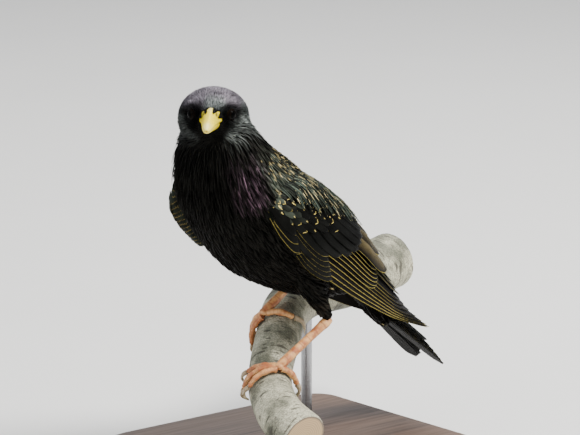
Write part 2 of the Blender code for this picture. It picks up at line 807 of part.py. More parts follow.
def stand_nodes(perch):
    half = np.array(BASE_SIZE) / 2
    corner = 12.0
    loop = []
    for cx, cy, a0 in ((1, 1, 0.0), (-1, 1, 90.0), (-1, -1, 180.0), (1, -1, 270.0)):
        for i in range(6):
            a = math.radians(a0 + 18.0 * i)
            loop.append((cx * (half[0] - corner) + corner * math.cos(a), cy * (half[1] - corner) + corner * math.sin(a)))
    loop = np.array(loop)
    rings = []
    for z, inset in ((0.0, 0.0), (BASE_TOP - 1.6, 0.0), (BASE_TOP - 0.5, 0.5), (BASE_TOP, 1.7)):
        shrink = 1.0 - inset / half[:2]
        rings.append(np.column_stack([loop * shrink, np.full(len(loop), z)]))
    base = loft("stand_base", rings, 0.0)
    for name, (f, l) in (("stand_rod_near", ROD_NEAR), ("stand_rod_far", ROD_FAR)):
        x, y, _ = row((f, l, 0.0))
        best = min(np.linspace(0.0, 1.0, 500), key=lambda s: float(np.hypot(*(along_perch(s)[0][:2] - (x, y)))))
        c, r = along_perch(best)
        rings = []
        for z in (4.0, c[2] - r + 5.0):
            ring = [(c[0] + ROD_R * math.cos(2 * math.pi * j / 20), c[1] + ROD_R * math.sin(2 * math.pi * j / 20), z)
                    for j in range(20)]
            rings.append(ring)
        rod = loft(name, rings, 0.0)
        combine(base, [swell(rod, GAP)], "DIFFERENCE")
        combine(perch, [swell(rod, GAP)], "DIFFERENCE")
    triangles(base)
    triangles(perch)


def main():
    rng = random.Random(SEED)
    clear_scene()
    flesh = body_solid()
    combine(flesh, [head_solid()], "UNION")
    biggest(flesh)

    chin = row((36.0, 2.0, 93.0))
    chin_way = unit((0.0, -0.05, 1.0))
    nape = row((28.0, 0.0, 76.0))
    nape_way = unit(row((30.0, 0.0, 92.0)) - row((24.0, 0.0, 66.0)))
    dock = row((-55.0, 0.0, 7.0))
    dock_way = unit(row(TAIL_TIP) - row(TAIL_ROOT))
    half = GAP / 2
    head = sliced(flesh, "head", [(chin + chin_way * half, -chin_way)])
    neck = sliced(flesh, "neck", [(chin - chin_way * half, chin_way), (nape + nape_way * half, -nape_way)])
    torso = sliced(flesh, "torso", [(nape - nape_way * half, nape_way), (dock - dock_way * half, dock_way)])
    tail = sliced(flesh, "tail", [(dock + dock_way * half, -dock_way)])
    bpy.data.objects.remove(flesh, do_unlink=True)

    vanes = []
    for j in range(TAIL_PAIRS):
        for sign in (1.0, -1.0):
            vanes.append(tail_vane(f"t{j}{sign}", sign, j, rng))
    combine(tail, vanes, "UNION")
    biggest(tail)

    upper = bill_half("bill_upper", BILL_UPPER)
    lower = bill_half("bill_lower", BILL_LOWER)
    nares = []
    for s in (-1.0, 1.0):
        nares.append(sphere("nostril", head_point(17.2, s * 2.75, 4.7), 1.0, 6, 10, 0.55))
    combine(upper, nares, "DIFFERENCE")
    biggest(upper)
    cutters = [swell(upper, GAP), swell(lower, GAP)]
    f, s, u = EYE_AT
    combine(head, [lid_ring(sign) for sign in (1.0, -1.0)], "UNION")
    for side, sign in (("left", 1.0), ("right", -1.0)):
        eye = sphere(f"eye_{side}", head_point(f, s * sign, u), EYE_R, 9, 12)
        cutters.append(swell(eye, GAP))
    for cutter in cutters:
        combine(head, [cutter], "DIFFERENCE")
    biggest(head, 2.0)

    for side in ("left", "right"):
        (primary, p_grown), (second, s_grown) = wing_nodes(side, rng)
        bed = wing_block("bed", side, np.linspace(-20.0, 34.0, 8), lambda tau: 0.03, lambda tau: 1.06,
                         lambda tau, v: -GAP, lambda tau, v: 12.0)
        shell, c_grown = covert_shell(side)
        foot, joint = foot_nodes(side)
        shank = leg_nodes(side, joint)
        thigh = thigh_solid(side)
        combine(neck, [c_grown], "DIFFERENCE", drop=False)
        for cutter in (p_grown, s_grown, c_grown, bed, swell(thigh, GAP), swell(shank, GAP)):
            combine(torso, [cutter], "DIFFERENCE")
        combine(thigh, [swell(shank, GAP)], "DIFFERENCE")
        biggest(thigh)
    biggest(neck, 1.0)
    biggest(torso, 2.0)

    perch = perch_solid()
    stand_nodes(perch)
    total = 0
    for obj in bpy.data.objects:
        if obj.type == "MESH":
            triangles(obj)
            total += len(obj.data.polygons)
            print(obj.name, len(obj.data.polygons))
    print("total", total)


if __name__ == "__main__":
    main()
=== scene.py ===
"""Looks of a life-size starling on a cut branch, dressed over its solids.

Lengths are in millimetres until a mesh is made. The bird frame is (front, left, up) from midway
between the feet, and row() turns it into the world frame.
"""
import json
import math

import bpy
import numpy as np
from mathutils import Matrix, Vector
from mathutils.bvhtree import BVHTree
from mathutils.kdtree import KDTree

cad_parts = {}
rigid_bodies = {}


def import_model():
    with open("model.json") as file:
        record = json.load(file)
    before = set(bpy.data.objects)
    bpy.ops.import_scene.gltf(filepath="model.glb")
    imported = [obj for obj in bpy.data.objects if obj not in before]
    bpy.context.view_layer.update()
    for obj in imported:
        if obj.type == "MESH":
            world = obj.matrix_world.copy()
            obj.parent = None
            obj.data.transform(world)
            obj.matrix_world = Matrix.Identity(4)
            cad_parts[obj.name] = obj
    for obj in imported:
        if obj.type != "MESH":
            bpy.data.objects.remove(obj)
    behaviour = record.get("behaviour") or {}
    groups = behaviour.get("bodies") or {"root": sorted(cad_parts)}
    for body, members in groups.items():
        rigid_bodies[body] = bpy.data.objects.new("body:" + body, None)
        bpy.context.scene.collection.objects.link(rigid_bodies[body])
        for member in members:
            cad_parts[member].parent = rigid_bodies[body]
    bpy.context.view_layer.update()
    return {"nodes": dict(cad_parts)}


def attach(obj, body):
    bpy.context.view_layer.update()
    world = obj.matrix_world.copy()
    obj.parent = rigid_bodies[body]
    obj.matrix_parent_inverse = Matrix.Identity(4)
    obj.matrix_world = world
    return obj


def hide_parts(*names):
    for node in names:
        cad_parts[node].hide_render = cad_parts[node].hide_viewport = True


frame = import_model()
draw = np.random.default_rng(23)

MM = 0.001
UP = np.array((0.0, 0.0, 1.0))
# world place of the bird frame's origin
BIRD_AT = (8.0, -16.0, 58.0)

# The bird's own shape

HEAD_AT = np.array((36.4, 3.1, 103.2))
HEAD_TURN, HEAD_PITCH = math.radians(46.8), math.radians(0.5)
EYE_AT = (8.4, 7.2, 3.2)
EYE_R = 3.05

# sections from tail to throat: front and up of the back, front and up of the belly, half width
BODY = np.array((
    (-66.0, -0.5, -60.5, -3.5, 4.6), (-60.0, 7.0, -53.5, 2.5, 7.2), (-53.0, 17.0, -46.0, 10.0, 9.8),
    (-46.0, 27.0, -38.0, 14.5, 13.4), (-39.0, 38.5, -26.0, 15.5, 19.5), (-31.8, 50.6, -10.0, 19.0, 24.5),
    (-22.8, 63.8, 6.5, 25.0, 27.5), (-11.6, 75.0, 22.0, 33.0, 28.5), (-0.4, 84.3, 35.0, 46.0, 28.0),
    (8.5, 90.5, 44.0, 60.0, 26.5), (14.5, 97.0, 48.0, 76.0, 22.5), (19.0, 103.0, 47.5, 88.0, 18.5),
    (25.0, 108.0, 44.0, 98.0, 14.0), (31.0, 110.0, 40.0, 105.0, 8.0),
))
BODY_END = len(BODY) - 1.0
# sections of the head: front, top, bottom, half width
HEAD = np.array((
    (-16.5, 3.0, -7.0, 5.0), (-14.0, 8.0, -12.0, 10.0), (-9.0, 12.0, -14.0, 14.0), (-3.0, 13.6, -13.0, 15.6),
    (3.0, 13.2, -11.0, 14.2), (6.5, 12.0, -10.0, 11.7), (10.0, 9.6, -8.6, 9.4), (13.0, 7.2, -6.8, 7.4),
    (15.2, 5.2, -5.4, 5.6), (16.5, 3.4, -4.2, 4.2),
))
# part of the head that the skin covers
HEAD_SPAN = (-15.3, 15.4)
# sections of the bill: front, height of the mouth line, outer height, half width
BILL_UPPER = np.array((
    (9.0, 1.2, 5.6, 5.3), (12.0, 1.2, 6.4, 5.2), (15.0, 1.2, 6.4, 4.5), (20.0, 1.3, 5.6, 3.5),
    (25.0, 1.35, 4.8, 2.9), (31.0, 1.3, 3.8, 2.3), (35.5, 1.2, 2.9, 1.7), (37.6, 1.0, 1.9, 0.9),
))
BILL_LOWER = np.array((
    (9.0, 0.9, -2.6, 4.5), (12.0, 0.9, -2.9, 4.4), (15.0, 0.9, -2.7, 3.9), (20.0, 1.0, -2.0, 3.2),
    (25.0, 1.05, -1.4, 2.7), (31.0, 1.0, -0.8, 2.1), (35.0, 0.9, -0.3, 1.5), (36.8, 0.7, 0.1, 0.8),
))

# the way of the folded wing, from its front down to its tip
WING_AXIS = np.array((-0.72, -0.10, -0.69)) / np.linalg.norm((-0.72, -0.10, -0.69))
# the wing's lower edge, of which the rear part is the same on both sides, and its upper edge
WING_REAR = (
    (-12.0, 23.0, 28.5), (-41.0, 17.0, 11.5), (-56.0, 12.5, 4.0), (-71.0, 9.0, -2.6), (-83.0, 6.8, -7.4),
)
WING_LOW = {
    "left": np.array(((27.5, 20.5, 74.0), (22.0, 23.5, 60.5), (11.5, 25.5, 45.5)) + WING_REAR),
    "right": np.array(((38.0, 20.5, 76.0), (33.0, 23.5, 61.0), (20.5, 25.5, 46.0)) + WING_REAR),
}
WING_HIGH = np.array((
    (20.5, 12.5, 74.0), (4.5, 6.0, 69.5), (-16.0, 4.6, 57.0), (-38.5, 4.4, 31.0),
    (-53.5, 4.2, 16.5), (-68.0, 4.0, 3.3), (-82.0, 4.6, -5.9),
))
# place along the wing's way, and how far the wing bulges there
WING_BULGE = np.array(((-70.0, 6.5), (-40.0, 9.0), (-11.0, 8.4), (20.0, 5.0), (45.0, 1.6), (64.0, 0.3)))
# where the wing starts along its axis, at its lower and its upper edge
WING_FROM = {"left": (-71.0, -67.0), "right": (-81.0, -68.0)}
# place of each feather's tip along the wing's way
PRIMARY_TIPS = (61.0, 62.5, 60.0, 56.0, 51.0, 46.0, 41.0, 36.0)
SECONDARY_TIPS = (10.5, 10.8, 10.0, 9.0, 7.5, 6.0)
INNER_TIPS = (35.0, 31.0, 26.0)
# place across the wing, tip and width of each tertial
TERTIALS = ((0.52, 11.0, 8.4), (0.66, 4.5, 9.4), (0.80, -3.0, 9.4), (0.92, -11.0, 9.0))

TAIL_ROOT, TAIL_TIP = np.array((-43.0, 0.0, 16.5)), np.array((-88.6, 0.0, -20.0))
TAIL_STEP = 0.88

# stations of the branch: front, left, up, radius
PERCH = np.array((
    (-113.0, -51.0, 11.2, 13.0), (-79.0, -43.4, 7.9, 12.3), (-49.0, -36.9, 7.2, 11.4),
    (-27.7, -26.3, 3.5, 10.9), (-13.8, -13.9, -1.8, 10.2), (8.5, 7.2, -18.8, 9.8),
    (14.5, 18.0, -23.0, 10.0), (19.2, 29.6, -26.0, 10.3), (20.5, 44.0, -30.5, 10.8),
))
ANKLE = {"left": (-17.4, 15.0, 9.4), "right": (-30.0, -13.0, 27.0)}
FOOT_TURN = {"left": -15.0, "right": 27.0}
# the foot stands at the last of this many stations
FOOT_STATION = {"left": 6, "right": 5}
# arc reached by the toe, drift along the perch at its root and end, radius, length of the claw in degrees
TOES = {
    "inner": (74.0, 1.6, 5.2, 1.15, 34.0), "middle": (104.0, 0.0, 0.6, 1.25, 32.0),
    "outer": (80.0, -1.6, -4.6, 1.15, 32.0), "hind": (-64.0, 0.0, 0.4, 1.35, -44.0),
}
SIDES = {"left": 1.0, "right": -1.0}
SHANK_RADII = ((0.0, 0.08, 0.2, 0.4, 0.6, 0.8, 0.93, 1.0), (1.75, 2.15, 2.1, 1.95, 1.95, 2.1, 2.3, 1.9))
THIGH_RADII = np.array((2.7, 3.5, 4.3, 5.2, 6.4, 7.2, 7.4))
BARK_RADIUS = 10.5
# power of the arch across the bill's upper half, and angle of the iris's rim from the eye's axis
UPPER_ARCH = 0.92
IRIS_ANGLE = 52.0

# The coat
# how far the skin lies under the solids on body and thighs, and how deep feathers root in it
SKIN_DEPTH, THIGH_DEPTH, ROOT_DEPTH = 1.9, 1.1, 0.35
# roots come from darts that keep a gap from each other, and a gap below zero means no feather
DARTS, CROWDING, NONE = 170000, 0.70, -1.0
# darts are sorted into cells wider than any gap between roots
CELL = 2.4
AROUND = [(i, j, k) for i in (-1, 0, 1) for j in (-1, 0, 1) for k in (-1, 0, 1)]
# small turn that tells the way round a surface
TURN_STEP = 0.02
# the body has the left half of the coat's map, and the head the right half
BODY_MAP, HEAD_MAP = 0.02, 0.52
# size of one feather's own patch on that map
VANE_PATCH = (0.0014, 0.003)
# rings of a body feather from root to tip, and its width there: narrow or broad
RING_STEPS = np.array((0.0, 0.22, 0.46, 0.68, 0.86, 1.0))
LANCE = np.array((0.45, 0.92, 1.0, 0.82, 0.5, 0.06))
OVAL = np.array((0.40, 0.85, 1.0, 0.95, 0.75, 0.22))

# Large feathers: columns across the vane, and how the rows crowd toward the tip
COLUMNS = np.array((-1.0, -0.86, -0.55, -0.12, 0.12, 0.55, 0.86, 1.0))
STEP_POWER = 0.85
# their own map is in millimetres over this
MAP_MM = 100.0
BARB_PITCH = 0.42
# number, length and width of the median coverts, and of the rows of lesser coverts
COVERT_ROWS = ((13, 12.0, 4.6), (15, 9.5, 4.0), (18, 8.0, 3.3))

# Colours, linear
INK = np.array((0.0090, 0.0086, 0.0073))
BUFF = np.array((0.52, 0.39, 0.13))
CREAM = np.array((0.70, 0.62, 0.36))
STRAW = np.array((0.38, 0.31, 0.075))
# painted sheen for crown, brow, cheek, ear, nape, neck, shoulder and back: glossy colours painted into the
# black feathers' colour
CROWN_MAUVE_PAINTED_SHEEN = np.array((0.400, 0.360, 0.415))
BROW_TEAL_PAINTED_SHEEN = np.array((0.330, 0.380, 0.360))
CHEEK_TEAL_PAINTED_SHEEN = np.array((0.370, 0.410, 0.385))
EAR_TEAL_PAINTED_SHEEN = np.array((0.200, 0.240, 0.225))
NAPE_VIOLET_PAINTED_SHEEN = np.array((0.080, 0.060, 0.110))
NECK_PURPLE_PAINTED_SHEEN = np.array((0.210, 0.125, 0.170))
SHOULDER_GREEN_PAINTED_SHEEN = np.array((0.380, 0.420, 0.320))
BACK_GREEN_PAINTED_SHEEN = np.array((0.022, 0.034, 0.026))
THIGH_BROWN = np.array((0.045, 0.038, 0.028))
FLIGHT_DARK = np.array((0.0065, 0.0058, 0.0055))
TERTIAL_RIM = np.array((0.007, 0.006, 0.005))
# painted sheen: olive-brown gloss down the middle of the tertials
TERTIAL_BROWN_PAINTED_SHEEN = np.array((0.092, 0.072, 0.033))
COVERT_DARK = np.array((0.0050, 0.0051, 0.0045))
COVERT_SHEEN = np.array((0.050, 0.060, 0.044))
FRONT_DARK = np.array((0.006, 0.008, 0.0065))
WRIST_DARK = np.array((0.010, 0.012, 0.009))
# painted sheen: green gloss of the shoulder feathers
SCAPULAR_GREEN_PAINTED_SHEEN = np.array((0.0075, 0.0098, 0.0075))
SCAPULAR_RIM = np.array((0.012, 0.012, 0.009))
TAIL_DARK = np.array((0.0052, 0.0044, 0.0038))
BILL_LEMON = np.array((0.84, 0.66, 0.01))
# painted highlight: pale cream at the bill's tip and along its top
BILL_TIP_PAINTED_HIGHLIGHT = np.array((0.92, 0.83, 0.36))
# painted shade: olive on the bill's sides toward the base, and dark in the nostril hollows
BILL_OLIVE_PAINTED_SHADE = np.array((0.42, 0.33, 0.0))
NOSTRIL_PAINTED_SHADE = np.array((0.05, 0.035, 0.01))
LID_DARK = np.array((0.006, 0.006, 0.0055))
CLAW_BASE = np.array((0.34, 0.25, 0.15))
CLAW_TIP = np.array((0.50, 0.42, 0.27))

# The view: turn and tilt of the camera, its distance, and the picture's width and middle in pixels
VIEW_TURN, VIEW_TILT = math.radians(50.0), math.radians(12.0)
VIEW_DISTANCE = 1600.0
PIXELS_PER_MM = 2.3
PICTURE_WIDTH = 580.0
PICTURE_CENTRE = (15.0, 123.5)

# How many numbers each point or corner carries
WIDTHS = {"tone": 3, "mark": 3, "edge": 1, "ring": 1, "vane": 2, "OFBake": 2, "bark": 2}


def row(p):
    """Bird frame to world frame, in millimetres."""
    p = np.asarray(p, float)
    return np.stack([p[..., 1] + BIRD_AT[0], -p[..., 0] + BIRD_AT[1], p[..., 2] + BIRD_AT[2]], -1)


def bird(p):
    """World frame to bird frame."""
    return np.stack([-p[..., 1] + BIRD_AT[1], p[..., 0] - BIRD_AT[0], p[..., 2] - BIRD_AT[2]], -1)


def unit(v):
    v = np.asarray(v, float)
    return v / np.maximum(np.linalg.norm(v, axis=-1, keepdims=True), 1e-12)


def dot(a, b):
    return np.einsum("ij,ij->i", a, b)


def blend(a, b, share):
    return a * (1 - share) + b * share


def run_length(points):
    """Distance along a line of points, at each of them."""
    return np.concatenate([[0.0], np.cumsum(np.linalg.norm(np.diff(points, axis=0), axis=1))])


def circle(n):
    return np.arange(n) * 2 * math.pi / n


def ease(a, b, x):
    t = np.clip((np.asarray(x, float) - a) / (b - a), 0.0, 1.0)
    return t * t * (3.0 - 2.0 * t)


def follow(keys, values, at):
    """Smooth curve through the values at the keys, by cubic Hermite pieces."""
    keys, values = np.asarray(keys, float), np.asarray(values, float)
    if values.ndim == 1:
        return follow(keys, values[:, None], at)[..., 0]
    at = np.asarray(at, float)
    slopes = np.gradient(values, keys, axis=0)
    i = np.clip(np.searchsorted(keys, at) - 1, 0, len(keys) - 2)
    h = keys[i + 1] - keys[i]
    s = (at - keys[i]) / h
    t = np.clip(s, 0.0, 1.0)[..., None]
    a, b = values[i], values[i + 1]
    ma, mb = slopes[i] * h[..., None], slopes[i + 1] * h[..., None]
    out = (2 * t ** 3 - 3 * t ** 2 + 1) * a + (t ** 3 - 2 * t ** 2 + t) * ma
    out = out + (-2 * t ** 3 + 3 * t ** 2) * b + (t ** 3 - t ** 2) * mb
    return out + np.minimum(s, 0.0)[..., None] * ma + np.maximum(s - 1.0, 0.0)[..., None] * mb


# the ways front, side and up of the turned head, in the bird frame
AHEAD = np.array((
    math.cos(HEAD_TURN) * math.cos(HEAD_PITCH),
    math.sin(HEAD_TURN) * math.cos(HEAD_PITCH),
    math.sin(HEAD_PITCH),
))
ASIDE = np.array((-math.sin(HEAD_TURN), math.cos(HEAD_TURN), 0.0))
ABOVE = np.cross(AHEAD, ASIDE)


def head_place(f, s, u):
    """Point of the head frame (front, side, up) in the world frame."""
    f, s, u = (np.asarray(x, float)[..., None] for x in (f, s, u))
    return row(HEAD_AT + AHEAD * f + ASIDE * s + ABOVE * u)


def head_frame(p):
    """World point in the head frame."""
    d = bird(p) - HEAD_AT
    return np.stack([d @ AHEAD, d @ ASIDE, d @ ABOVE], -1)


def body_surface(s, t, inset=0.0):
    """Body section s (0 at the tail, 13 at the throat), t round it from the back."""
    k = follow(np.arange(len(BODY)), BODY, s)
    zero = np.zeros_like(k[..., 0])
    top = np.stack([k[..., 0], zero, k[..., 1]], -1)
    low = np.stack([k[..., 2], zero, k[..., 3]], -1)
    half = (top - low) / 2
    size = np.linalg.norm(half, axis=-1, keepdims=True)
    half = half * np.maximum(size - inset, 0.8) / size
    wide = np.maximum(k[..., 4] - inset, 0.8)
    across = np.stack([zero, wide, zero], -1)
    return row((top + low) / 2 + half * np.cos(t)[..., None] + across * np.sin(t)[..., None])


def head_surface(f, t, inset=0.0):
    k = follow(HEAD[:, 0], HEAD[:, 1:], f)
    high = np.maximum((k[..., 0] - k[..., 1]) / 2 - inset, 0.8)
    wide = np.maximum(k[..., 2] - inset, 0.8)
    return head_place(f, wide * np.sin(t), (k[..., 0] + k[..., 1]) / 2 + high * np.cos(t))


# Meshes


def show(name, data):
    obj = bpy.data.objects.new(name, data)
    bpy.context.scene.collection.objects.link(obj)
    return obj


class Pile:
    """Points, triangles and what the points carry, gathered into one piece."""

    def __init__(self):
        self.points, self.faces, self.data, self.count = [], [], {}, 0

    def add(self, points, faces, **data):
        points = np.asarray(points, float).reshape(-1, 3)
        self.points.append(points)
        self.faces.append(np.asarray(faces, int).reshape(-1, 3) + self.count)
        self.count += len(points)
        for key, value in data.items():
            value = np.asarray(value, float).reshape(-1, WIDTHS[key])
            self.data.setdefault(key, []).append(np.broadcast_to(value, (len(points), WIDTHS[key])))

    def make(self, name, material):
        points, faces = np.concatenate(self.points), np.concatenate(self.faces)
        mesh = bpy.data.meshes.new(name)
        mesh.vertices.add(len(points))
        mesh.vertices.foreach_set("co", (points * MM).astype(np.float32).ravel())
        mesh.loops.add(faces.size)
        mesh.loops.foreach_set("vertex_index", faces.astype(np.int32).ravel())
        mesh.polygons.add(len(faces))
        mesh.polygons.foreach_set("loop_start", np.arange(0, faces.size, 3, dtype=np.int32))
        mesh.update(calc_edges=True)
        for key, parts in self.data.items():
            value = np.concatenate(parts)
            if WIDTHS[key] == 2:
                layer = mesh.uv_layers.new(name=key)
                layer.data.foreach_set("uv", value[faces.ravel()].astype(np.float32).ravel())
            elif WIDTHS[key] == 3:
                layer = mesh.attributes.new(key, "FLOAT_COLOR", "POINT")
                rgba = np.concatenate([value, np.ones((len(value), 1))], 1)
                layer.data.foreach_set("color", rgba.astype(np.float32).ravel())
            else:
                layer = mesh.attributes.new(key, "FLOAT", "POINT")
                layer.data.foreach_set("value", value.astype(np.float32).ravel())
        mesh.polygons.foreach_set("use_smooth", np.full(len(faces), True))
        mesh.materials.append(material)
        return show(name, mesh)


def settle(obj, material_slot, *nodes):
    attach(obj, "root")
    if nodes:
        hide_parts(*nodes)
    return obj


def made_real(obj):
    """The object with the mesh that its modifiers make of it, and without them."""
    graph = bpy.context.evaluated_depsgraph_get()
    mesh = bpy.data.meshes.new_from_object(obj.evaluated_get(graph))
    obj.modifiers.clear()
    obj.data = mesh
    return obj


def outward(points, faces):
    """The triangles turned so that the closed shape they make faces out."""
    a, b, c = (points[faces[:, i]] for i in range(3))
    return faces if np.einsum("ij,ij->i", a, np.cross(b, c)).sum() > 0 else faces[:, ::-1]


def grid_faces(rows, columns, around=True, onward=False):
    """Triangles of a grid of points, closed round its columns, and round its rows for a loop."""
    i, j = np.meshgrid(np.arange(rows - (not onward)), np.arange(columns - (not around)), indexing="ij")
    k, m = (j + 1) % columns, (i + 1) % rows
    a, b, c, d = i * columns + j, i * columns + k, m * columns + j, m * columns + k
    return np.concatenate([np.stack([a, b, d], -1).reshape(-1, 3), np.stack([a, d, c], -1).reshape(-1, 3)])


def ring_faces(rings, sides):
    """Triangles of a tube of rings, with the two ends closed by fans to two added points."""
    j = np.arange(sides)
    k = (j + 1) % sides
    end = (rings - 1) * sides
    first = np.stack([k, j, np.full(sides, rings * sides)], -1)
    last = np.stack([end + j, end + k, np.full(sides, rings * sides + 1)], -1)
    return np.concatenate([grid_faces(rings, sides), first, last])


def tube(rings):
    """Closed surface through rings, shaped (rings, sides, 3)."""
    rings = np.asarray(rings, float)
    n, m = rings.shape[:2]
    points = np.concatenate([rings.reshape(-1, 3), rings[:1].mean(1), rings[-1:].mean(1)])
    return points, outward(points, ring_faces(n, m))


def slab_faces(n, m):
    """Triangles of a thin closed sheet: n rows of m points above and the same below."""
    below = n * m
    i, j = np.meshgrid(np.arange(n - 1), np.arange(m - 1), indexing="ij")
    inner = i * m + j
    start, side = np.arange(n - 1) * m, np.arange(n - 1) * m + m - 1
    root, tip = np.arange(m - 1), (n - 1) * m + np.arange(m - 1)
    quads = (
        (inner, inner + 1, inner + m + 1, inner + m),
        (inner + below + 1, inner + below, inner + below + m, inner + below + m + 1),
        (start + below, start, start + m, start + m + below),
        (side, side + below, side + m + below, side + m),
        (root + below, root + 1 + below, root + 1, root),
        (tip, tip + 1, tip + 1 + below, tip + below),
    )
    faces = []
    for quad in quads:
        a, b, c, d = (np.ravel(x) for x in quad)
        faces += [np.stack([a, b, c], -1), np.stack([a, c, d], -1)]
    return np.concatenate(faces)


def sheet(over, under):
    """Points and triangles of a thin closed sheet between two grids of points."""
    points = np.concatenate([over.reshape(-1, 3), under.reshape(-1, 3)])
    return points, outward(points - points.mean(0), slab_faces(*over.shape[:2]))


# Materials


def add_node(tree, kind, inputs, settings):
    """A node of a tree, with its settings, and with each input linked or given its value."""
    made = tree.nodes.new(kind)
    for key, value in settings.items():
        setattr(made, key, value)
    for key, value in inputs.items():
        if isinstance(value, bpy.types.NodeSocket):
            tree.links.new(value, made.inputs[key])
        elif isinstance(value, tuple) and len(value) == 3 and made.inputs[key].type == "RGBA":
            made.inputs[key].default_value = (*value, 1.0)
        else:
            made.inputs[key].default_value = value
    return made


class Finish:
    """A material and short ways to add its nodes."""

    def __init__(self, name, **values):
        self.material = bpy.data.materials.new(name)
        self.material.use_nodes = True
        self.tree = self.material.node_tree
        self.shader = self.tree.nodes["Principled BSDF"]
        for key, value in values.items():
            socket = self.shader.inputs[key.replace("_", " ")]
            tint = socket.type == "RGBA"
            socket.default_value = (*value, 1.0) if tint else value

    def node(self, kind, inputs, **settings):
        return add_node(self.tree, "ShaderNode" + kind, inputs, settings)

    def give(self, name, socket):
        self.tree.links.new(socket, self.shader.inputs[name])

    def attribute(self, name, out="Color"):
        return self.node("Attribute", {}, attribute_name=name).outputs[out]

    def place(self):
        return self.node("TexCoord", {}).outputs["Object"]

    def map(self, name):
        return self.node("UVMap", {}, uv_map=name).outputs["UV"]

    def noise(self, at, scale, detail=3.0, rough=0.55):
        inputs = {"Vector": at, "Scale": scale, "Detail": detail, "Roughness": rough}
        return self.node("TexNoise", inputs).outputs["Fac"]

    def math(self, what, a, b=0.0, c=0.0):
        return self.node("Math", {0: a, 1: b, 2: c}, operation=what).outputs[0]

    def times(self, a, b):
        return self.math("MULTIPLY", a, b)

    def lit(self, colour, by):
        """The colour made lighter or darker."""
        return self.node("VectorMath", {0: colour, 3: by}, operation="SCALE").outputs[0]

    def span(self, value, a, b, c=0.0, d=1.0):
        """The value eased from the range a to b into the range c to d."""
        inputs = {"Value": value, "From Min": a, "From Max": b, "To Min": c, "To Max": d}
        return self.node("MapRange", inputs, interpolation_type="SMOOTHSTEP").outputs["Result"]

    def mix(self, share, a, b):
        return self.node("Mix", {0: share, 6: a, 7: b}, data_type="RGBA").outputs[2]

    def stretch(self, at, scale):
        return self.node("Mapping", {"Vector": at, "Scale": scale}).outputs["Vector"]

    def bump(self, height, strength, distance):
        made = self.node("Bump", {"Height": height, "Strength": strength, "Distance": distance})
        self.give("Normal", made.outputs["Normal"])


def barbs(finish):
    """Fine barbs slanting back from the shaft, as a height between 0 and 1."""
    place = finish.node("SeparateXYZ", {0: finish.map("vane")})
    out = finish.math("ABSOLUTE", place.outputs[0])
    slant = finish.math("MULTIPLY_ADD", out, -1.3, place.outputs[1])
    wave = finish.math("SINE", finish.times(slant, math.tau * MAP_MM / BARB_PITCH))
    return finish.math("MULTIPLY_ADD", wave, 0.5, 0.5)


def body_feather_finish():
    """Black feathers with a metallic sheen, coloured feather by feather."""
    finish = Finish("feather_body", Metallic=0.5, Roughness=0.42, Specular_IOR_Level=0.2, IOR=1.25,
                    Specular_Tint=(0.35, 0.35, 0.38))
    patch = finish.noise(finish.place(), 160.0, 2.0)
    line = barbs(finish)
    tone = finish.lit(finish.attribute("tone"), finish.span(patch, 0.3, 0.7, 0.72, 1.3))
    finish.give("Base Color", finish.lit(tone, finish.span(line, 0.0, 1.0, 0.9, 1.05)))
    finish.give("Roughness", finish.span(patch, 0.3, 0.7, 0.36, 0.5))
    finish.bump(line, 0.07, 0.0002)
    return finish.material


def flight_finish(name, gloss=0.2):
    """Large feathers: dark vane, glossy along the barbs, with pale edges and tips where the mark says."""
    finish = Finish(name, Metallic=0.3, Roughness=0.42, Specular_IOR_Level=gloss, IOR=1.25,
                    Specular_Tint=(0.25, 0.25, 0.26))
    place = finish.place()
    ragged = finish.math("MULTIPLY_ADD", finish.noise(place, 900.0, 2.0), 0.24, -0.12)
    rim = finish.math("ADD", finish.attribute("edge", "Fac"), ragged)
    pale = finish.span(rim, 0.13, 0.27, 1.0, 0.0)
    patch = finish.noise(place, 130.0, 2.0)
    line = barbs(finish)
    shade = finish.times(finish.span(patch, 0.3, 0.7, 0.75, 1.25), finish.span(line, 0.0, 1.0, 0.8, 1.12))
    dark = finish.lit(finish.attribute("tone"), shade)
    finish.give("Base Color", finish.mix(pale, dark, finish.attribute("mark")))
    finish.give("Metallic", finish.span(pale, 0.0, 1.0, 0.3, 0.0))
    finish.give("Roughness", finish.span(pale, 0.0, 1.0, 0.38, 0.6))
    finish.bump(line, 0.16, 0.0002)
    return finish.material


def skin_finish():
    """Dark down close to the skin, seen only between feathers."""
    finish = Finish("down", Roughness=0.8, Specular_IOR_Level=0.1)
    fluff = finish.noise(finish.place(), 1400.0, 4.0)
    finish.give("Base Color", finish.mix(fluff, (0.002, 0.002, 0.0022), (0.006, 0.006, 0.0065)))
    finish.bump(fluff, 0.6, 0.0003)
    return finish.material


def horn_finish(name, rough=0.34, gloss=0.5, tint=(1.0, 1.0, 1.0)):
    """Satin horn, coloured along its length."""
    finish = Finish(name, Roughness=rough, Subsurface_Weight=0.05, Subsurface_Scale=0.0006,
                    Specular_IOR_Level=gloss, Specular_Tint=tint)
    finish.shader.inputs["Subsurface Radius"].default_value = (1.0, 0.6, 0.25)
    grain = finish.noise(finish.place(), 900.0, 4.0)
    shade = finish.span(grain, 0.3, 0.7, 0.86, 1.08)
    finish.give("Base Color", finish.lit(finish.attribute("tone"), shade))
    finish.give("Roughness", finish.span(grain, 0.3, 0.7, rough - 0.06, rough + 0.1))
    finish.bump(grain, 0.12, 0.0002)
    return finish.material


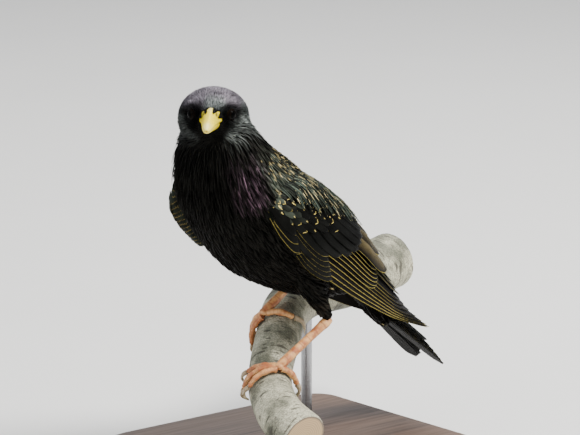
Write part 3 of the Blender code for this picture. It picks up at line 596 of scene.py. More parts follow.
def leg_finish():
    """Scaled skin of the legs: pink-orange plates with darker seams."""
    finish = Finish("leg_scales", Roughness=0.45, Subsurface_Weight=0.15, Subsurface_Scale=0.001)
    finish.shader.inputs["Subsurface Radius"].default_value = (1.0, 0.4, 0.25)
    place = finish.place()
    blotch = finish.noise(place, 260.0, 3.0)
    fine = finish.noise(place, 2200.0, 3.0)
    plate = finish.mix(finish.span(blotch, 0.35, 0.68), (0.38, 0.122, 0.040), (0.70, 0.375, 0.145))
    seam = finish.span(finish.attribute("seam", "Fac"), 0.35, 0.95)
    finish.give("Base Color", finish.mix(finish.math("MULTIPLY", seam, 0.5), plate, (0.28, 0.078, 0.036)))
    finish.give("Roughness", finish.span(fine, 0.3, 0.7, 0.36, 0.56))
    finish.bump(fine, 0.3, 0.0002)
    return finish.material


def eye_finish():
    """Dark brown iris round a black pupil under a clear wet surface."""
    finish = Finish("eye_dark", Roughness=0.06, Specular_IOR_Level=0.035, IOR=1.33)
    ring = finish.attribute("ring", "Fac")
    streak = finish.noise(finish.place(), 1800.0, 3.0)
    iris = finish.mix(streak, (0.003, 0.0018, 0.001), (0.007, 0.004, 0.0025))
    inside = finish.span(ring, 0.50, 0.56)
    colour = finish.mix(inside, (0.001, 0.001, 0.001), iris)
    finish.give("Base Color", finish.mix(finish.span(ring, 0.9, 1.0), colour, (0.006, 0.004, 0.003)))
    return finish.material


def bark_finish():
    """Smooth pale grey bark: fine grain along the branch, mottled, with small dark checks."""
    finish = Finish("bark_grey", Roughness=0.75)
    along = finish.map("bark")
    place = finish.place()
    blotch = finish.noise(place, 70.0, 4.0)
    grain = finish.noise(finish.stretch(along, (330.0, 900.0, 1.0)), 1.0, 6.0, 0.7)
    check = finish.noise(finish.stretch(along, (110.0, 520.0, 1.0)), 1.0, 3.0, 0.5)
    fine = finish.noise(place, 1500.0, 4.0)
    light = finish.mix(finish.span(blotch, 0.35, 0.65), (0.120, 0.122, 0.084), (0.54, 0.515, 0.375))
    light = finish.mix(finish.span(grain, 0.42, 0.70, 0.0, 0.6), light, (0.085, 0.085, 0.055))
    light = finish.lit(light, finish.span(fine, 0.3, 0.7, 0.60, 1.32))
    dark = finish.span(check, 0.59, 0.64)
    finish.give("Base Color", finish.mix(finish.times(dark, 0.85), light, (0.05, 0.045, 0.032)))
    height = finish.math("MULTIPLY_ADD", grain, 0.6, finish.times(fine, 0.25))
    height = finish.math("SUBTRACT", height, finish.times(dark, 0.5))
    finish.bump(height, 0.55, 0.0007)
    return finish.material


def cut_wood_finish():
    """The sawn ends of the branch, with growth rings."""
    finish = Finish("cut_wood", Roughness=0.7)
    ring = finish.attribute("ring", "Fac")
    place = finish.place()
    wander = finish.math("MULTIPLY_ADD", finish.noise(place, 120.0, 2.0), 0.06, ring)
    band = finish.math("SINE", finish.math("MULTIPLY", wander, 70.0))
    wood = finish.mix(finish.span(band, -1.0, 1.0, 0.0, 0.6), (0.50, 0.36, 0.20), (0.34, 0.21, 0.10))
    rim = finish.span(ring, 0.90, 0.95)
    finish.give("Base Color", finish.mix(rim, wood, (0.16, 0.12, 0.08)))
    finish.bump(finish.noise(place, 1500.0, 3.0), 0.3, 0.0003)
    return finish.material


def pore_finish():
    """Corky pores of the bark."""
    finish = Finish("bark_pore", Roughness=0.9)
    speck = finish.noise(finish.place(), 2500.0, 3.0)
    finish.give("Base Color", finish.mix(speck, (0.10, 0.085, 0.06), (0.22, 0.19, 0.15)))
    return finish.material


def stand_wood_finish():
    """Dark stained board with long straight grain and a satin polish."""
    finish = Finish("stand_walnut", Roughness=0.38, Coat_Weight=0.15, Coat_Roughness=0.3)
    place = finish.stretch(finish.place(), (420.0, 22.0, 420.0))
    grain = finish.noise(place, 1.0, 6.0, 0.62)
    broad = finish.noise(finish.stretch(finish.place(), (60.0, 6.0, 60.0)), 1.0, 3.0)
    wood = finish.mix(finish.span(grain, 0.35, 0.7), (0.085, 0.045, 0.024), (0.028, 0.014, 0.008))
    wood = finish.mix(finish.span(broad, 0.35, 0.65, 0.0, 0.5), wood, (0.12, 0.062, 0.032))
    finish.give("Base Color", wood)
    finish.give("Roughness", finish.span(grain, 0.3, 0.7, 0.32, 0.5))
    finish.bump(grain, 0.15, 0.0003)
    return finish.material


def rod_finish():
    """Brushed rod, turned marks round it."""
    finish = Finish("stand_rod", Metallic=1.0, Roughness=0.32)
    marks = finish.noise(finish.stretch(finish.place(), (60.0, 60.0, 9000.0)), 1.0, 2.0)
    finish.give("Base Color", finish.mix(marks, (0.30, 0.30, 0.31), (0.44, 0.44, 0.45)))
    finish.give("Roughness", finish.span(marks, 0.3, 0.7, 0.26, 0.42))
    finish.bump(marks, 0.08, 0.0001)
    return finish.material


def floor_finish():
    finish = Finish("floor_pale", Roughness=0.85)
    haze = finish.noise(finish.place(), 9.0, 3.0)
    finish.give("Base Color", finish.mix(haze, (0.74, 0.735, 0.72), (0.78, 0.775, 0.76)))
    return finish.material


BODY_FEATHER = body_feather_finish()
FLIGHT = flight_finish("feather_flight")
TAIL = flight_finish("feather_tail", 0.04)
DOWN = skin_finish()
BILL_HORN = horn_finish("bill_horn", 0.38, 0.3, (1.0, 0.85, 0.4))
CLAW_HORN = horn_finish("claw_horn", 0.3)
LID = horn_finish("lid_skin", 0.7, 0.03)
LEG = leg_finish()
EYE = eye_finish()
BARK = bark_finish()
CUT_WOOD = cut_wood_finish()


# Skin and coat


def limb_rings(a, b, radii, sides=20):
    """Rings of a straight tapering limb between two world points."""
    axis = unit(b - a)
    over = unit(np.cross(axis, (0.3, 0.9, 0.1)))
    across = np.cross(axis, over)
    t = circle(sides)
    ring = over * np.cos(t)[:, None] + across * np.sin(t)[:, None]
    at = a + (b - a) * np.linspace(0.0, 1.0, len(radii))[:, None]
    return at[:, None] + ring[None] * np.asarray(radii)[:, None, None]


def head_inset(f):
    """How far the skin lies under the head's surface: more where the bill leaves it."""
    return 1.0 + 0.8 * ease(9.0, 13.0, f)


def body_inset(s):
    """How far the skin lies under the body's surface, the same at each section."""
    return SKIN_DEPTH


def make_skin():
    """One closed skin for body, neck, head and thighs, a little inside the solids."""
    pile = Pile()
    t = circle(56)[None]
    s = np.linspace(0.0, BODY_END, 70)[:, None]
    pile.add(*tube(body_surface(s, t, body_inset(s))))
    f = np.linspace(*HEAD_SPAN, 40)[:, None]
    pile.add(*tube(head_surface(f, t, head_inset(f))))
    for side, sign in SIDES.items():
        low, high = thigh_line(side)
        pile.add(*tube(limb_rings(low, high, THIGH_RADII - THIGH_DEPTH)))
        brow = head_place((11.6, 4.2), (5.4 * sign, 9.9 * sign), (5.0, 7.0))
        pile.add(*tube(limb_rings(brow[0], brow[1], (1.0, 1.5, 1.8, 2.0, 2.0))))
    skin = pile.make("skin", DOWN)
    remesh = skin.modifiers.new("one skin", "REMESH")
    remesh.mode = "VOXEL"
    remesh.voxel_size = 0.0009
    smooth = skin.modifiers.new("soften", "SMOOTH")
    smooth.factor = 0.6
    smooth.iterations = 9
    made_real(skin)
    skin.data.polygons.foreach_set("use_smooth", np.full(len(skin.data.polygons), True))
    return skin


def thigh_line(side):
    """The two ends of a thigh, the lower one first."""
    if side == "left":
        ankle = np.array(ANKLE[side])
        return row(ankle + (0.4, 0.0, 1.2)), row(ankle + (14.0, 0.0, 25.0))
    low = np.array((-21.0, -13.0, 18.5))
    return row(low), row(low + (9.0, 2.0, 17.0))


class Chart:
    """A grid of places on one surface of the bird, with the ways along it and round it."""

    def __init__(self, surface, inset, span, rows, columns, step):
        along, turn = np.meshgrid(np.linspace(*span, rows), circle(columns), indexing="ij")
        depth = inset(along)
        here = surface(along, turn, depth)
        self.at = np.stack([along.ravel(), turn.ravel()], -1)
        self.points = here.reshape(-1, 3)
        self.along = (surface(along + step, turn, depth) - here).reshape(-1, 3) / step
        self.around = (surface(along, turn + TURN_STEP, depth) - here).reshape(-1, 3) / TURN_STEP
        self.tree = KDTree(len(self.points))
        for i, p in enumerate(self.points.tolist()):
            self.tree.insert(p, i)
        self.tree.balance()

    def nearest(self, points):
        """Number of and distance to the nearest place, for each point."""
        found = [self.tree.find(p) for p in points.tolist()]
        return np.array([hit[1] for hit in found]), np.array([hit[2] for hit in found])

    def unwrapped(self, points, near):
        """Distance along and turn round for points, from the numbers of their nearest places."""
        way, along, around = points - self.points[near], self.along[near], self.around[near]
        step = dot(way, along) / np.maximum(dot(along, along), 1e-6)
        turn = dot(way, around) / np.maximum(dot(around, around), 1e-6)
        return self.at[near] + np.clip(np.stack([step, turn], -1), -0.2, 0.2)


def cell_of(place):
    return tuple(int(x // CELL) for x in place)


def crowded(grid, place, gap):
    """True if a root kept in the grid lies nearer to the place than the gap."""
    x, y, z = place
    i, j, k = cell_of(place)
    near = gap * gap
    for di, dj, dk in AROUND:
        for px, py, pz in grid.get((i + di, j + dj, k + dk), ()):
            if (px - x) ** 2 + (py - y) ** 2 + (pz - z) ** 2 < near:
                return True
    return False


def map_place(left, turn, share):
    """Place on the coat's map: the body has its left half and the head its right half."""
    return np.stack([left + 0.45 * turn, 0.02 + 0.95 * share], -1)


def head_share(f):
    return (f - HEAD_SPAN[0]) / (HEAD_SPAN[1] - HEAD_SPAN[0])


class Coat:
    """The skin, and the way the feathers lie on it."""

    def __init__(self, skin):
        mesh = skin.data
        mesh.calc_loop_triangles()
        points = np.empty(len(mesh.vertices) * 3, np.float32)
        mesh.vertices.foreach_get("co", points)
        self.points = points.reshape(-1, 3) * 1000.0
        tris = np.empty(len(mesh.loop_triangles) * 3, np.int32)
        mesh.loop_triangles.foreach_get("vertices", tris)
        self.tris = tris.reshape(-1, 3)
        self.tree = BVHTree.FromPolygons(self.points.tolist(), self.tris.tolist())
        self.body = Chart(body_surface, body_inset, (0.0, BODY_END), 131, 120, 0.02)
        self.head = Chart(head_surface, head_inset, HEAD_SPAN, 90, 90, 0.05)

    def scatter(self, spacing, count):
        """Roots on the skin no closer than spacing(points), by throwing darts at it."""
        corners = self.points[self.tris]
        cross = np.cross(corners[:, 1] - corners[:, 0], corners[:, 2] - corners[:, 0])
        area = np.linalg.norm(cross, axis=1) / 2
        need = spacing(self.describe(corners.mean(1), unit(cross)))
        share = np.where(need > 0, area / np.maximum(need, 0.1) ** 2, 0.0)
        pick = draw.choice(len(area), count, p=share / share.sum())
        u, v = draw.random(count), draw.random(count)
        flip = u + v > 1
        u[flip], v[flip] = 1 - u[flip], 1 - v[flip]
        c = corners[pick]
        found = c[:, 0] + (c[:, 1] - c[:, 0]) * u[:, None] + (c[:, 2] - c[:, 0]) * v[:, None]
        info = self.describe(found, unit(cross[pick]))
        gap = spacing(info)
        grid, kept = {}, []
        places, gaps = found.tolist(), gap.tolist()
        for i in np.flatnonzero(gap > 0):
            if not crowded(grid, places[i], gaps[i]):
                grid.setdefault(cell_of(places[i]), []).append(places[i])
                kept.append(i)
        return {key: value[kept] for key, value in info.items()}

    def describe(self, points, normals):
        """Lie, unwrapped place and share of head for points of the skin."""
        near_body, body_gap = self.body.nearest(points)
        near_head, head_gap = self.head.nearest(points)
        head = ease(-3.0, 3.0, body_gap - head_gap)
        body_way, head_way = unit(self.body.along[near_body]), unit(self.head.along[near_head])
        lie = -body_way * (1 - head)[:, None] - head_way * head[:, None]
        lie = unit(lie - normals * dot(lie, normals)[:, None])
        body_at = self.body.unwrapped(points, near_body)
        head_at = self.head.unwrapped(points, near_head)
        body_uv = map_place(BODY_MAP, body_at[:, 1] / math.tau % 1.0, body_at[:, 0] / BODY_END)
        head_uv = map_place(HEAD_MAP, head_at[:, 1] / math.tau % 1.0, head_share(head_at[:, 0]))
        return {
            "p": points, "n": normals, "lie": lie, "head": head,
            "uv": np.where((head > 0.5)[:, None], head_uv, body_uv), "h": head_frame(points),
            "b": bird(points), "nb": np.stack([-normals[:, 1], normals[:, 0], normals[:, 2]], -1),
        }

    def paths(self, roots, length, steps, yaw):
        """Paths over the skin from the roots along the lie: points, sides and normals of each ring."""
        p, n, d = roots["p"].copy(), roots["n"].copy(), roots["lie"].copy()
        side = np.cross(n, d)
        d = unit(d * np.cos(yaw)[:, None] + side * np.sin(yaw)[:, None])
        points, normals, ways = [p], [n], [d]
        for a, b in zip(steps[:-1], steps[1:]):
            ahead = p + d * (length * (b - a))[:, None]
            hits = [self.tree.find_nearest(place) for place in ahead.tolist()]
            p = np.array([hit[0] for hit in hits])
            n = unit(np.array([hit[1] for hit in hits]) * 0.6 + n * 0.4)
            d = unit(d - n * dot(d, n)[:, None])
            points.append(p)
            normals.append(n)
            ways.append(d)
        points, normals, ways = (np.stack(x, 1) for x in (points, normals, ways))
        return points, np.cross(normals, ways), normals


def wing_spot(b, side):
    """How far along and across the folded wing a bird-frame point lies, for hiding what it covers."""
    q = b * (1.0, SIDES[side], 1.0)
    tau = q @ WING_AXIS
    low, high, _ = wing_parts(side, tau)
    chord = high - low
    return tau, dot(q - low, chord) / dot(chord, chord)


def under_wing(b):
    """True for places that the folded wings hide."""
    hidden = np.zeros(len(b), bool)
    for side, sign in SIDES.items():
        tau, v = wing_spot(b, side)
        covered = (tau > wing_start(side, v) + 5.0) & (tau < 30.0) & (v > 0.2) & (v < 0.9)
        hidden |= (b[:, 1] * sign > 0) & covered
    return hidden


def region(info):
    """Length, half width, lift and kind of the feathers everywhere on the skin."""
    h, b, nb, head = info["h"], info["b"], info["nb"], info["head"]
    hf, hs, hu = h[:, 0], h[:, 1], h[:, 2]
    dorsal = ease(-0.05, 0.45, nb[:, 2] - 0.35 * nb[:, 0])
    # body
    length = 9.0 + 1.5 * ease(60.0, 40.0, b[:, 2])
    width = 0.85 + 0.55 * ease(80.0, 45.0, b[:, 2])
    # long narrow hackles on the throat and the sides of the neck
    hackle = ease(62.0, 80.0, b[:, 2]) * (1 - dorsal)
    length = length + 1.5 * hackle
    width = width - 0.40 * hackle
    lift = 1.35 + 0.35 * hackle
    back = dorsal * ease(97.0, 88.0, b[:, 2])
    length = blend(length, 8.5, back)
    width = blend(width, 0.72, back)
    vent = ease(-14.0, -26.0, b[:, 0]) * ease(24.0, 16.0, b[:, 2])
    width = width + 0.45 * vent
    lift = lift * (1 - 0.45 * vent)
    thigh = ease(26.0, 20.0, b[:, 2]) * (b[:, 0] > -26.0)
    length = length * (1 - 0.45 * thigh)
    # head: short behind the bill, longer toward the nape and throat
    behind = ease(13.0, -13.0, hf)
    throat = ease(-4.0, -9.0, hu)
    head_length = 1.9 + 3.2 * behind + 3.0 * throat * ease(10.0, 2.0, hf)
    head_width = 0.19 + 0.22 * behind + 0.14 * throat
    head_lift = 0.45 + 0.45 * behind + 1.0 * ease(2.0, -6.0, hu) * ease(4.0, 8.0, np.abs(hs))
    kind = {
        "length": blend(length, head_length, head), "width": blend(width, head_width, head),
        "lift": blend(lift, head_lift, head), "dorsal": dorsal,
    }
    for name, share in (("back", back), ("vent", vent), ("thigh", thigh), ("hackle", hackle)):
        kind[name] = share * (1 - head)
    return kind


def spacing(info):
    """Distance between feather roots, or nothing where none grow or none would be seen."""
    kind = region(info)
    body = 0.72 + 0.46 * (kind["width"] - 0.3) + 0.05 * kind["length"]
    gap = CROWDING * np.where(info["head"] > 0.5, 0.27 + 0.72 * kind["width"], body)
    gap = np.where(under_wing(info["b"]), NONE, gap)
    for sign in SIDES.values():
        eye = np.array((EYE_AT[0], EYE_AT[1] * sign, EYE_AT[2]))
        gap = np.where(np.linalg.norm(info["h"] - eye, axis=1) < EYE_R + 0.1, NONE, gap)
    return gap


def feather_tones(info, kind):
    """Colour of each feather over most of its length, colour of its tip, and whether the tip is pale."""
    h, b, nb, head = info["h"], info["b"], info["nb"], info["head"]
    n = len(h)
    hf, hs, hu = h[:, 0], h[:, 1], h[:, 2]
    luck = draw.random(n)
    tone = np.tile(INK, (n, 1))

    def wash(colour, share):
        nonlocal tone
        tone = blend(tone, np.asarray(colour), np.clip(share, 0.0, 1.0)[:, None])

    # head: painted sheen, mauve-grey on the crown, teal on the brow, cheeks and ear, violet on the nape;
    # black lores and throat
    wash(CROWN_MAUVE_PAINTED_SHEEN, head * ease(3.5, 9.5, hu) * (0.2 + 0.65 * luck))
    brow = ease(6.0, 11.0, hf) * ease(2.0, 7.0, hu) * ease(5.5, 2.0, np.abs(hs - 1.5))
    wash(BROW_TEAL_PAINTED_SHEEN, head * brow * (0.25 + 0.65 * luck))
    # painted shade: the cheek and ear sheen falls to a quarter on the head's right side, away from the key
    # lamp
    lit = np.where(hs > 0, 1.0, 0.25)
    cheek = ease(13.0, 8.0, hf) * ease(-9.5, -5.0, hu) * ease(3.5, 0.5, hu) * ease(3.5, 6.5, np.abs(hs))
    wash(CHEEK_TEAL_PAINTED_SHEEN, head * cheek * lit * luck)
    ear = ease(7.0, 2.0, hf) * ease(-1.0, 3.0, hu) * ease(9.0, 6.0, hu) * ease(7.5, 9.5, np.abs(hs))
    wash(EAR_TEAL_PAINTED_SHEEN, head * ear * lit * 0.7 * luck ** 1.5)
    wash(NAPE_VIOLET_PAINTED_SHEEN, head * ease(0.0, -8.0, hf) * ease(0.0, 5.0, hu) * 0.6 * luck)
    lores = np.stack([hf * 0 + EYE_AT[0] + 2.0, np.sign(hs) * EYE_AT[1], hf * 0 + 2.0], 1)
    mask = ease(6.5, 4.0, np.linalg.norm(h - lores, axis=1))
    tone = tone * (1 - 0.85 * (mask * head)[:, None])
    # neck: painted sheen, purple strands at the sides and green over the shoulders
    flank = (1 - head) * ease(0.35, 0.80, np.abs(nb[:, 1])) * ease(62.0, 74.0, b[:, 2])
    purple_sheen = flank * ease(25.0, 31.0, b[:, 0]) * ease(42.0, 35.0, b[:, 0])
    purple_sheen = purple_sheen * ease(68.0, 76.0, b[:, 2]) * ease(95.0, 86.0, b[:, 2])
    wash(NECK_PURPLE_PAINTED_SHEEN, purple_sheen * 0.85 * luck ** 2.6)
    green_sheen = flank * ease(30.0, 22.0, b[:, 0]) * ease(98.0, 86.0, b[:, 2])
    wash(SHOULDER_GREEN_PAINTED_SHEEN, green_sheen * 0.9 * luck ** 2.0)
    # back: black with a painted green sheen
    wash(BACK_GREEN_PAINTED_SHEEN, kind["back"] * luck ** 4)
    wash(THIGH_BROWN, kind["thigh"] * 0.8 * luck ** 2)
    tone = tone * (0.5 + draw.random(n))[:, None]
    tip = tone.copy()
    spot = kind["back"] * ease(98.0, 90.0, b[:, 2]) * ease(30.0, 22.0, b[:, 0])
    rim = np.maximum(kind["vent"], ease(-38.0, -48.0, b[:, 0]))
    pale = (draw.random(n) < 0.42 * np.maximum(spot, rim * 0.1)) & (head < 0.4)
    speck = (kind["hackle"] > 0.1) & (kind["dorsal"] > 0.35) & (head < 0.3) & (b[:, 0] < 21.0)
    pale |= speck & (draw.random(n) < 0.16)
    tip[pale] = (BUFF * 0.6 + CREAM * 0.45) * (0.75 + 0.4 * draw.random(pale.sum()))[:, None]
    return tone, tip, pale


def vane_faces(count, rings):
    """Triangles of many three-edged feathers, closed at root and tip."""
    ends = ((0, 2, 1), (3 * rings - 3, 3 * rings - 2, 3 * rings - 1))
    one = np.concatenate([grid_faces(rings, 3), ends])
    return (one[None] + (np.arange(count) * rings * 3)[:, None, None]).reshape(-1, 3)


def lay_feathers(coat, roots, name):
    """Overlapping three-edged feathers over the skin from the roots, as one piece."""
    kind = region(roots)
    n = len(roots["p"])
    length = kind["length"] * draw.uniform(0.82, 1.15, n)
    width = kind["width"] * draw.uniform(0.65, 0.9, n)
    # feathers near the eye end at its rim
    for sign in SIDES.values():
        way = head_place(EYE_AT[0], EYE_AT[1] * sign, EYE_AT[2]) - roots["p"]
        ahead = dot(way, roots["lie"])
        off = np.linalg.norm(way - roots["lie"] * ahead[:, None], axis=1)
        room = ahead - np.sqrt(np.maximum((EYE_R + 0.15) ** 2 - off ** 2, 0.0))
        blocked = (off < EYE_R + 0.1) & (ahead > 0) & (np.linalg.norm(way, axis=1) < 8.0)
        length = np.where(blocked, np.clip(room, 0.4, length), length)
    yaw = draw.normal(0.0, 0.10, n)
    points, sides, ups = coat.paths(roots, length, RING_STEPS, yaw)
    x = RING_STEPS[None]
    proud = 1.0 + 0.6 * kind["hackle"] * (draw.random(n) < 0.16)
    lift = (kind["lift"] * draw.uniform(0.75, 1.2, n) * proud)[:, None]
    points = points + ups * ((lift + ROOT_DEPTH) * x ** 0.75 - ROOT_DEPTH)[..., None]
    # tips fan out a little
    points = points + sides * (draw.normal(0.0, 0.25, n)[:, None] * x ** 2)[..., None]
    profile = blend(LANCE, OVAL, np.clip(kind["back"] + kind["vent"], 0.0, 1.0)[:, None])
    tone, tip, pale = feather_tones(roots, kind)
    tip_from = np.where(draw.random(n) < 0.25, 0.8, 0.95)[:, None]
    share = (x > tip_from).astype(float)[..., None] * pale[:, None, None]
    colour = blend(tone[:, None] * (0.55 + 0.45 * x[..., None]), tip[:, None], share)
    return vanes(name, points, sides, ups, width, length, profile, colour, roots["uv"], share)


def vanes(name, points, sides, ups, width, length, profile, colour, root_uv, pale=0):
    """Closed three-edged feathers along paths of six rings each, with painted shade at both edges and a
    painted highlight along the ridge, but for pale tips.
    """
    half = width[:, None] * profile
    left, right = points - sides * half[..., None], points + sides * half[..., None]
    top = points + ups * (0.06 + 0.26 * half)[..., None]
    rings = np.stack([left, top, right], 2)
    across = np.stack([-half, np.zeros_like(half), half], 2)
    along = np.repeat((length[:, None] * RING_STEPS[None])[..., None], 3, 2)
    patch = np.stack([across / np.maximum(width, 0.1)[:, None, None] * VANE_PATCH[0],
                      (along / length[:, None, None] - 0.5) * VANE_PATCH[1]], -1)
    uv = np.clip(root_uv[:, None, None] + patch, 0.001, 0.999)
    faces = vane_faces(len(points), len(RING_STEPS))
    first, one = rings[0].reshape(-1, 3), faces[:len(faces) // len(points)]
    if outward(first - first.mean(0), one) is not one:
        faces = faces[:, ::-1]
    vane = np.stack([across / MAP_MM, along / MAP_MM + 0.02], -1)
    # painted highlight along each feather's ridge and painted shade at its two edges, but not on pale tips
    rim = 0.4 + 0.6 * pale + 0 * colour
    tone = np.stack([colour * rim, colour * (1.25 - 0.25 * pale), colour * rim], 2)
    pile = Pile()
    pile.add(rings, faces, tone=tone, vane=vane, OFBake=uv)
    return settle(pile.make(name, BODY_FEATHER), "body_feathers")


def dress_body():
    """The skin in place of the nodes of flesh, and the coat over it in five pieces."""
    skin = make_skin()
    settle(skin, "body_feathers", "head", "neck", "torso", "thigh_left", "thigh_right")
    coat = Coat(skin)
    roots = coat.scatter(spacing, DARTS)
    head = roots["head"] > 0.5
    fore = roots["h"][:, 0] > 3.0
    back = ~head & (roots["nb"][:, 2] > 0.1) & (roots["b"][:, 0] < 30)
    high = roots["b"][:, 2] > 66.0
    groups = {
        "feathers_face": head & fore, "feathers_crown": head & ~fore, "feathers_back": back,
        "feathers_throat": ~head & ~back & high, "feathers_belly": ~head & ~back & ~high,
    }
    for name, chosen in groups.items():
        lay_feathers(coat, {key: value[chosen] for key, value in roots.items()}, name)


# Wings


def wing_parts(side, tau):
    """Lower edge, upper edge and bulge of the folded wing at a distance along it."""
    low = follow(WING_LOW[side] @ WING_AXIS, WING_LOW[side], tau)
    high = follow(WING_HIGH @ WING_AXIS, WING_HIGH, tau)
    return low, high, follow(WING_BULGE[:, 0], WING_BULGE[:, 1], tau)


def wing_place(side, tau, v, n):
    """Point of the folded wing: distance along it, place across it, height off its base surface."""
    tau, v, n = np.broadcast_arrays(np.asarray(tau, float), v, n)
    low, high, bulge = wing_parts(side, tau)
    chord = high - low
    out = unit(np.cross(WING_AXIS, chord))
    out = np.where(out[..., 1:2] < 0, -out, out)
    v, bulge, n = v[..., None], bulge[..., None], n[..., None]
    p = low + chord * v + out * 4 * v * (1 - v) * bulge
    slope = chord + out * 4 * (1 - 2 * v) * bulge
    normal = unit(np.cross(WING_AXIS, slope))
    normal = np.where(np.sum(normal * out, -1, keepdims=True) < 0, -normal, normal)
    p = p + normal * n
    p[..., 1] = np.maximum(p[..., 1], 0.45) * SIDES[side]
    return row(p)


def wing_chord(tau):
    """Width of the wing over its bulge."""
    low, high, bulge = wing_parts("left", tau)
    flat = np.linalg.norm(high - low, axis=-1)
    return flat * (1 + 2.67 * (bulge / flat) ** 2)


def feather_steps(tau):
    """Share of the wing's width from one flight feather to the next, for the first eleven and the last."""
    step = np.interp(tau, (-70.0, -11.0, 5.0, 64.0), (2.3, 2.0, 1.78, 1.76))
    last = np.interp(tau, (-11.0, 2.0, 14.0, 22.0), (3.1, 3.0, 2.0, 1.78))
    return step / wing_chord(tau), last / wing_chord(tau)


def feather_level(tau, v):
    """Which flight feather lies at a place across the wing, as a fraction."""
    step, last = feather_steps(tau)
    k = (v - 0.10) / step
    k = np.where(k > 11.0, 11.0 + (v - 0.10 - 11.0 * step) / last, k)
    return np.clip(k, 0.0, 14.0)


def crown(tau, v):
    """Height that covers every flight feather at this place."""
    return 4.4 + 0.30 * feather_level(tau, v)


def wing_start(side, v):
    """Where the wing's front edge is, across the wing."""
    a, b = WING_FROM[side]
    return a + (b - a) * np.clip(v, 0.0, 1.0)


def wing_top(side, tau, v):
    """Height of the coverts over the base surface, rounded down at the front of the wing."""
    fore = np.clip((tau - wing_start(side, v)) / 13.0, 0.0, 1.0)
    thinner = 1.6 * ease(0.25, 0.0, v) if side == "right" else 0.0
    return -0.5 + (crown(tau, v) + 2.55 - thinner) * np.sin(0.5 * math.pi * fore) ** 0.7


def covert_edge(v):
    """Where the greater coverts end, across the wing."""
    return np.interp(v, (0.0, 0.09, 0.18, 0.27, 0.36, 0.6, 0.72, 1.0),
                     (-46.0, -35.5, -29.5, -21.5, -15.5, -15.5, -18.0, -24.0))


def median_edge(v):
    """Where the median coverts end."""
    return np.interp(v, (0.0, 0.07, 0.11, 0.15, 0.23, 0.32, 0.37, 0.5, 1.0),
                     (-63.0, -57.0, -52.0, -48.0, -45.0, -39.0, -33.5, -28.0, -30.0))


def rounded(s, power, steep=0.6):
    """Width of a round-tipped feather from root to tip, as a share of its widest."""
    return np.maximum(1.0 - s ** power, 0.0) ** steep


def keeled(w, thick):
    """Thickness of a vane across its width, thin at both rims."""
    return thick * (1 - 0.75 * w ** 2)


def shaft(w, high):
    """Height of the shaft over the middle of a vane."""
    return high * np.exp(-(w / 0.16) ** 2)


def vane_map(across, along):
    """Place on a feather's own map, in millimetres over 100."""
    return np.stack([across / MAP_MM, along / MAP_MM], -1).reshape(-1, 2)


def add_vane(pile, side, taus, mids, halves, level, tone, mark, edge, thick=0.30, rib=0.12, flip=1.0):
    """One feather of the wing, along taus and centred on mids across the wing.

    level(tau, q, s) is its height over the wing, and edge(s, w, half, left) how far its pale rim is.
    """
    s, w = np.broadcast_arrays(np.linspace(0.0, 1.0, len(taus))[:, None], COLUMNS[None])
    tau, half = taus[:, None] + 0 * w, halves[:, None] + 0 * w
    q = half * w
    v = mids[:, None] + q / wing_chord(taus)[:, None]
    base = level(tau, q, s)
    body = keeled(w, thick) * (1 - 0.45 * s)
    over = wing_place(side, tau, v, flip * (base + body / 2 + shaft(w, rib)))
    under = wing_place(side, tau, v, flip * (base - body / 2))
    points, faces = sheet(over, under)
    left = (1.0 - s) * abs(taus[-1] - taus[0])
    field = edge(s, w, half, left).ravel()
    shade = tone(s, w) if callable(tone) else tone
    colour = (shade * (0.8 + 0.3 * s)[..., None]).reshape(-1, 3)
    vane = vane_map(q, np.abs(tau - taus[0]))
    pile.add(points, faces, tone=np.concatenate([colour, colour * 0.8]), mark=mark,
             edge=np.concatenate([field, np.maximum(field, 0.2)]), vane=np.concatenate([vane, vane]))


def rim_field(outer=1.0, tip=3.0, thin=0.0):
    """Distance in millimetres from the pale rim: the outer edge where it has one, and round the tip."""

    def field(s, w, half, left):
        near = ease(tip * 1.7, tip * 0.7, left)
        low = (w + 1) * half + (1 - near) * (1 - outer) * 6.0 + thin * ease(0.6, 0.9, s)
        high = (1 - w) * half + (1 - near) * 6.0
        return np.minimum(low, high)

    return field


def drop_field(long=2.6, wide=0.42):
    """A pale drop along the shaft at the tip."""

    def field(s, w, half, left):
        inside = ease(long * 1.25, long * 0.8, left) * ease(wide + 0.35, wide, np.abs(w))
        return 0.7 - 0.65 * inside

    return field


def chevron_field(long=2.2):
    """A pale V round the tip."""

    def field(s, w, half, left):
        return (1 - np.abs(w)) * half * 0.7 + (1 - ease(long * 1.3, long * 0.7, left)) * 3.0

    return field


def painted_sheen_middle(s, w):
    """Tertials: olive-brown painted sheen in the middle, black at the rims."""
    middle = (ease(0.95, 0.25, np.abs(w - 0.1)) * ease(1.0, 0.85, s))[..., None]
    return blend(TERTIAL_RIM, TERTIAL_BROWN_PAINTED_SHEEN, middle)


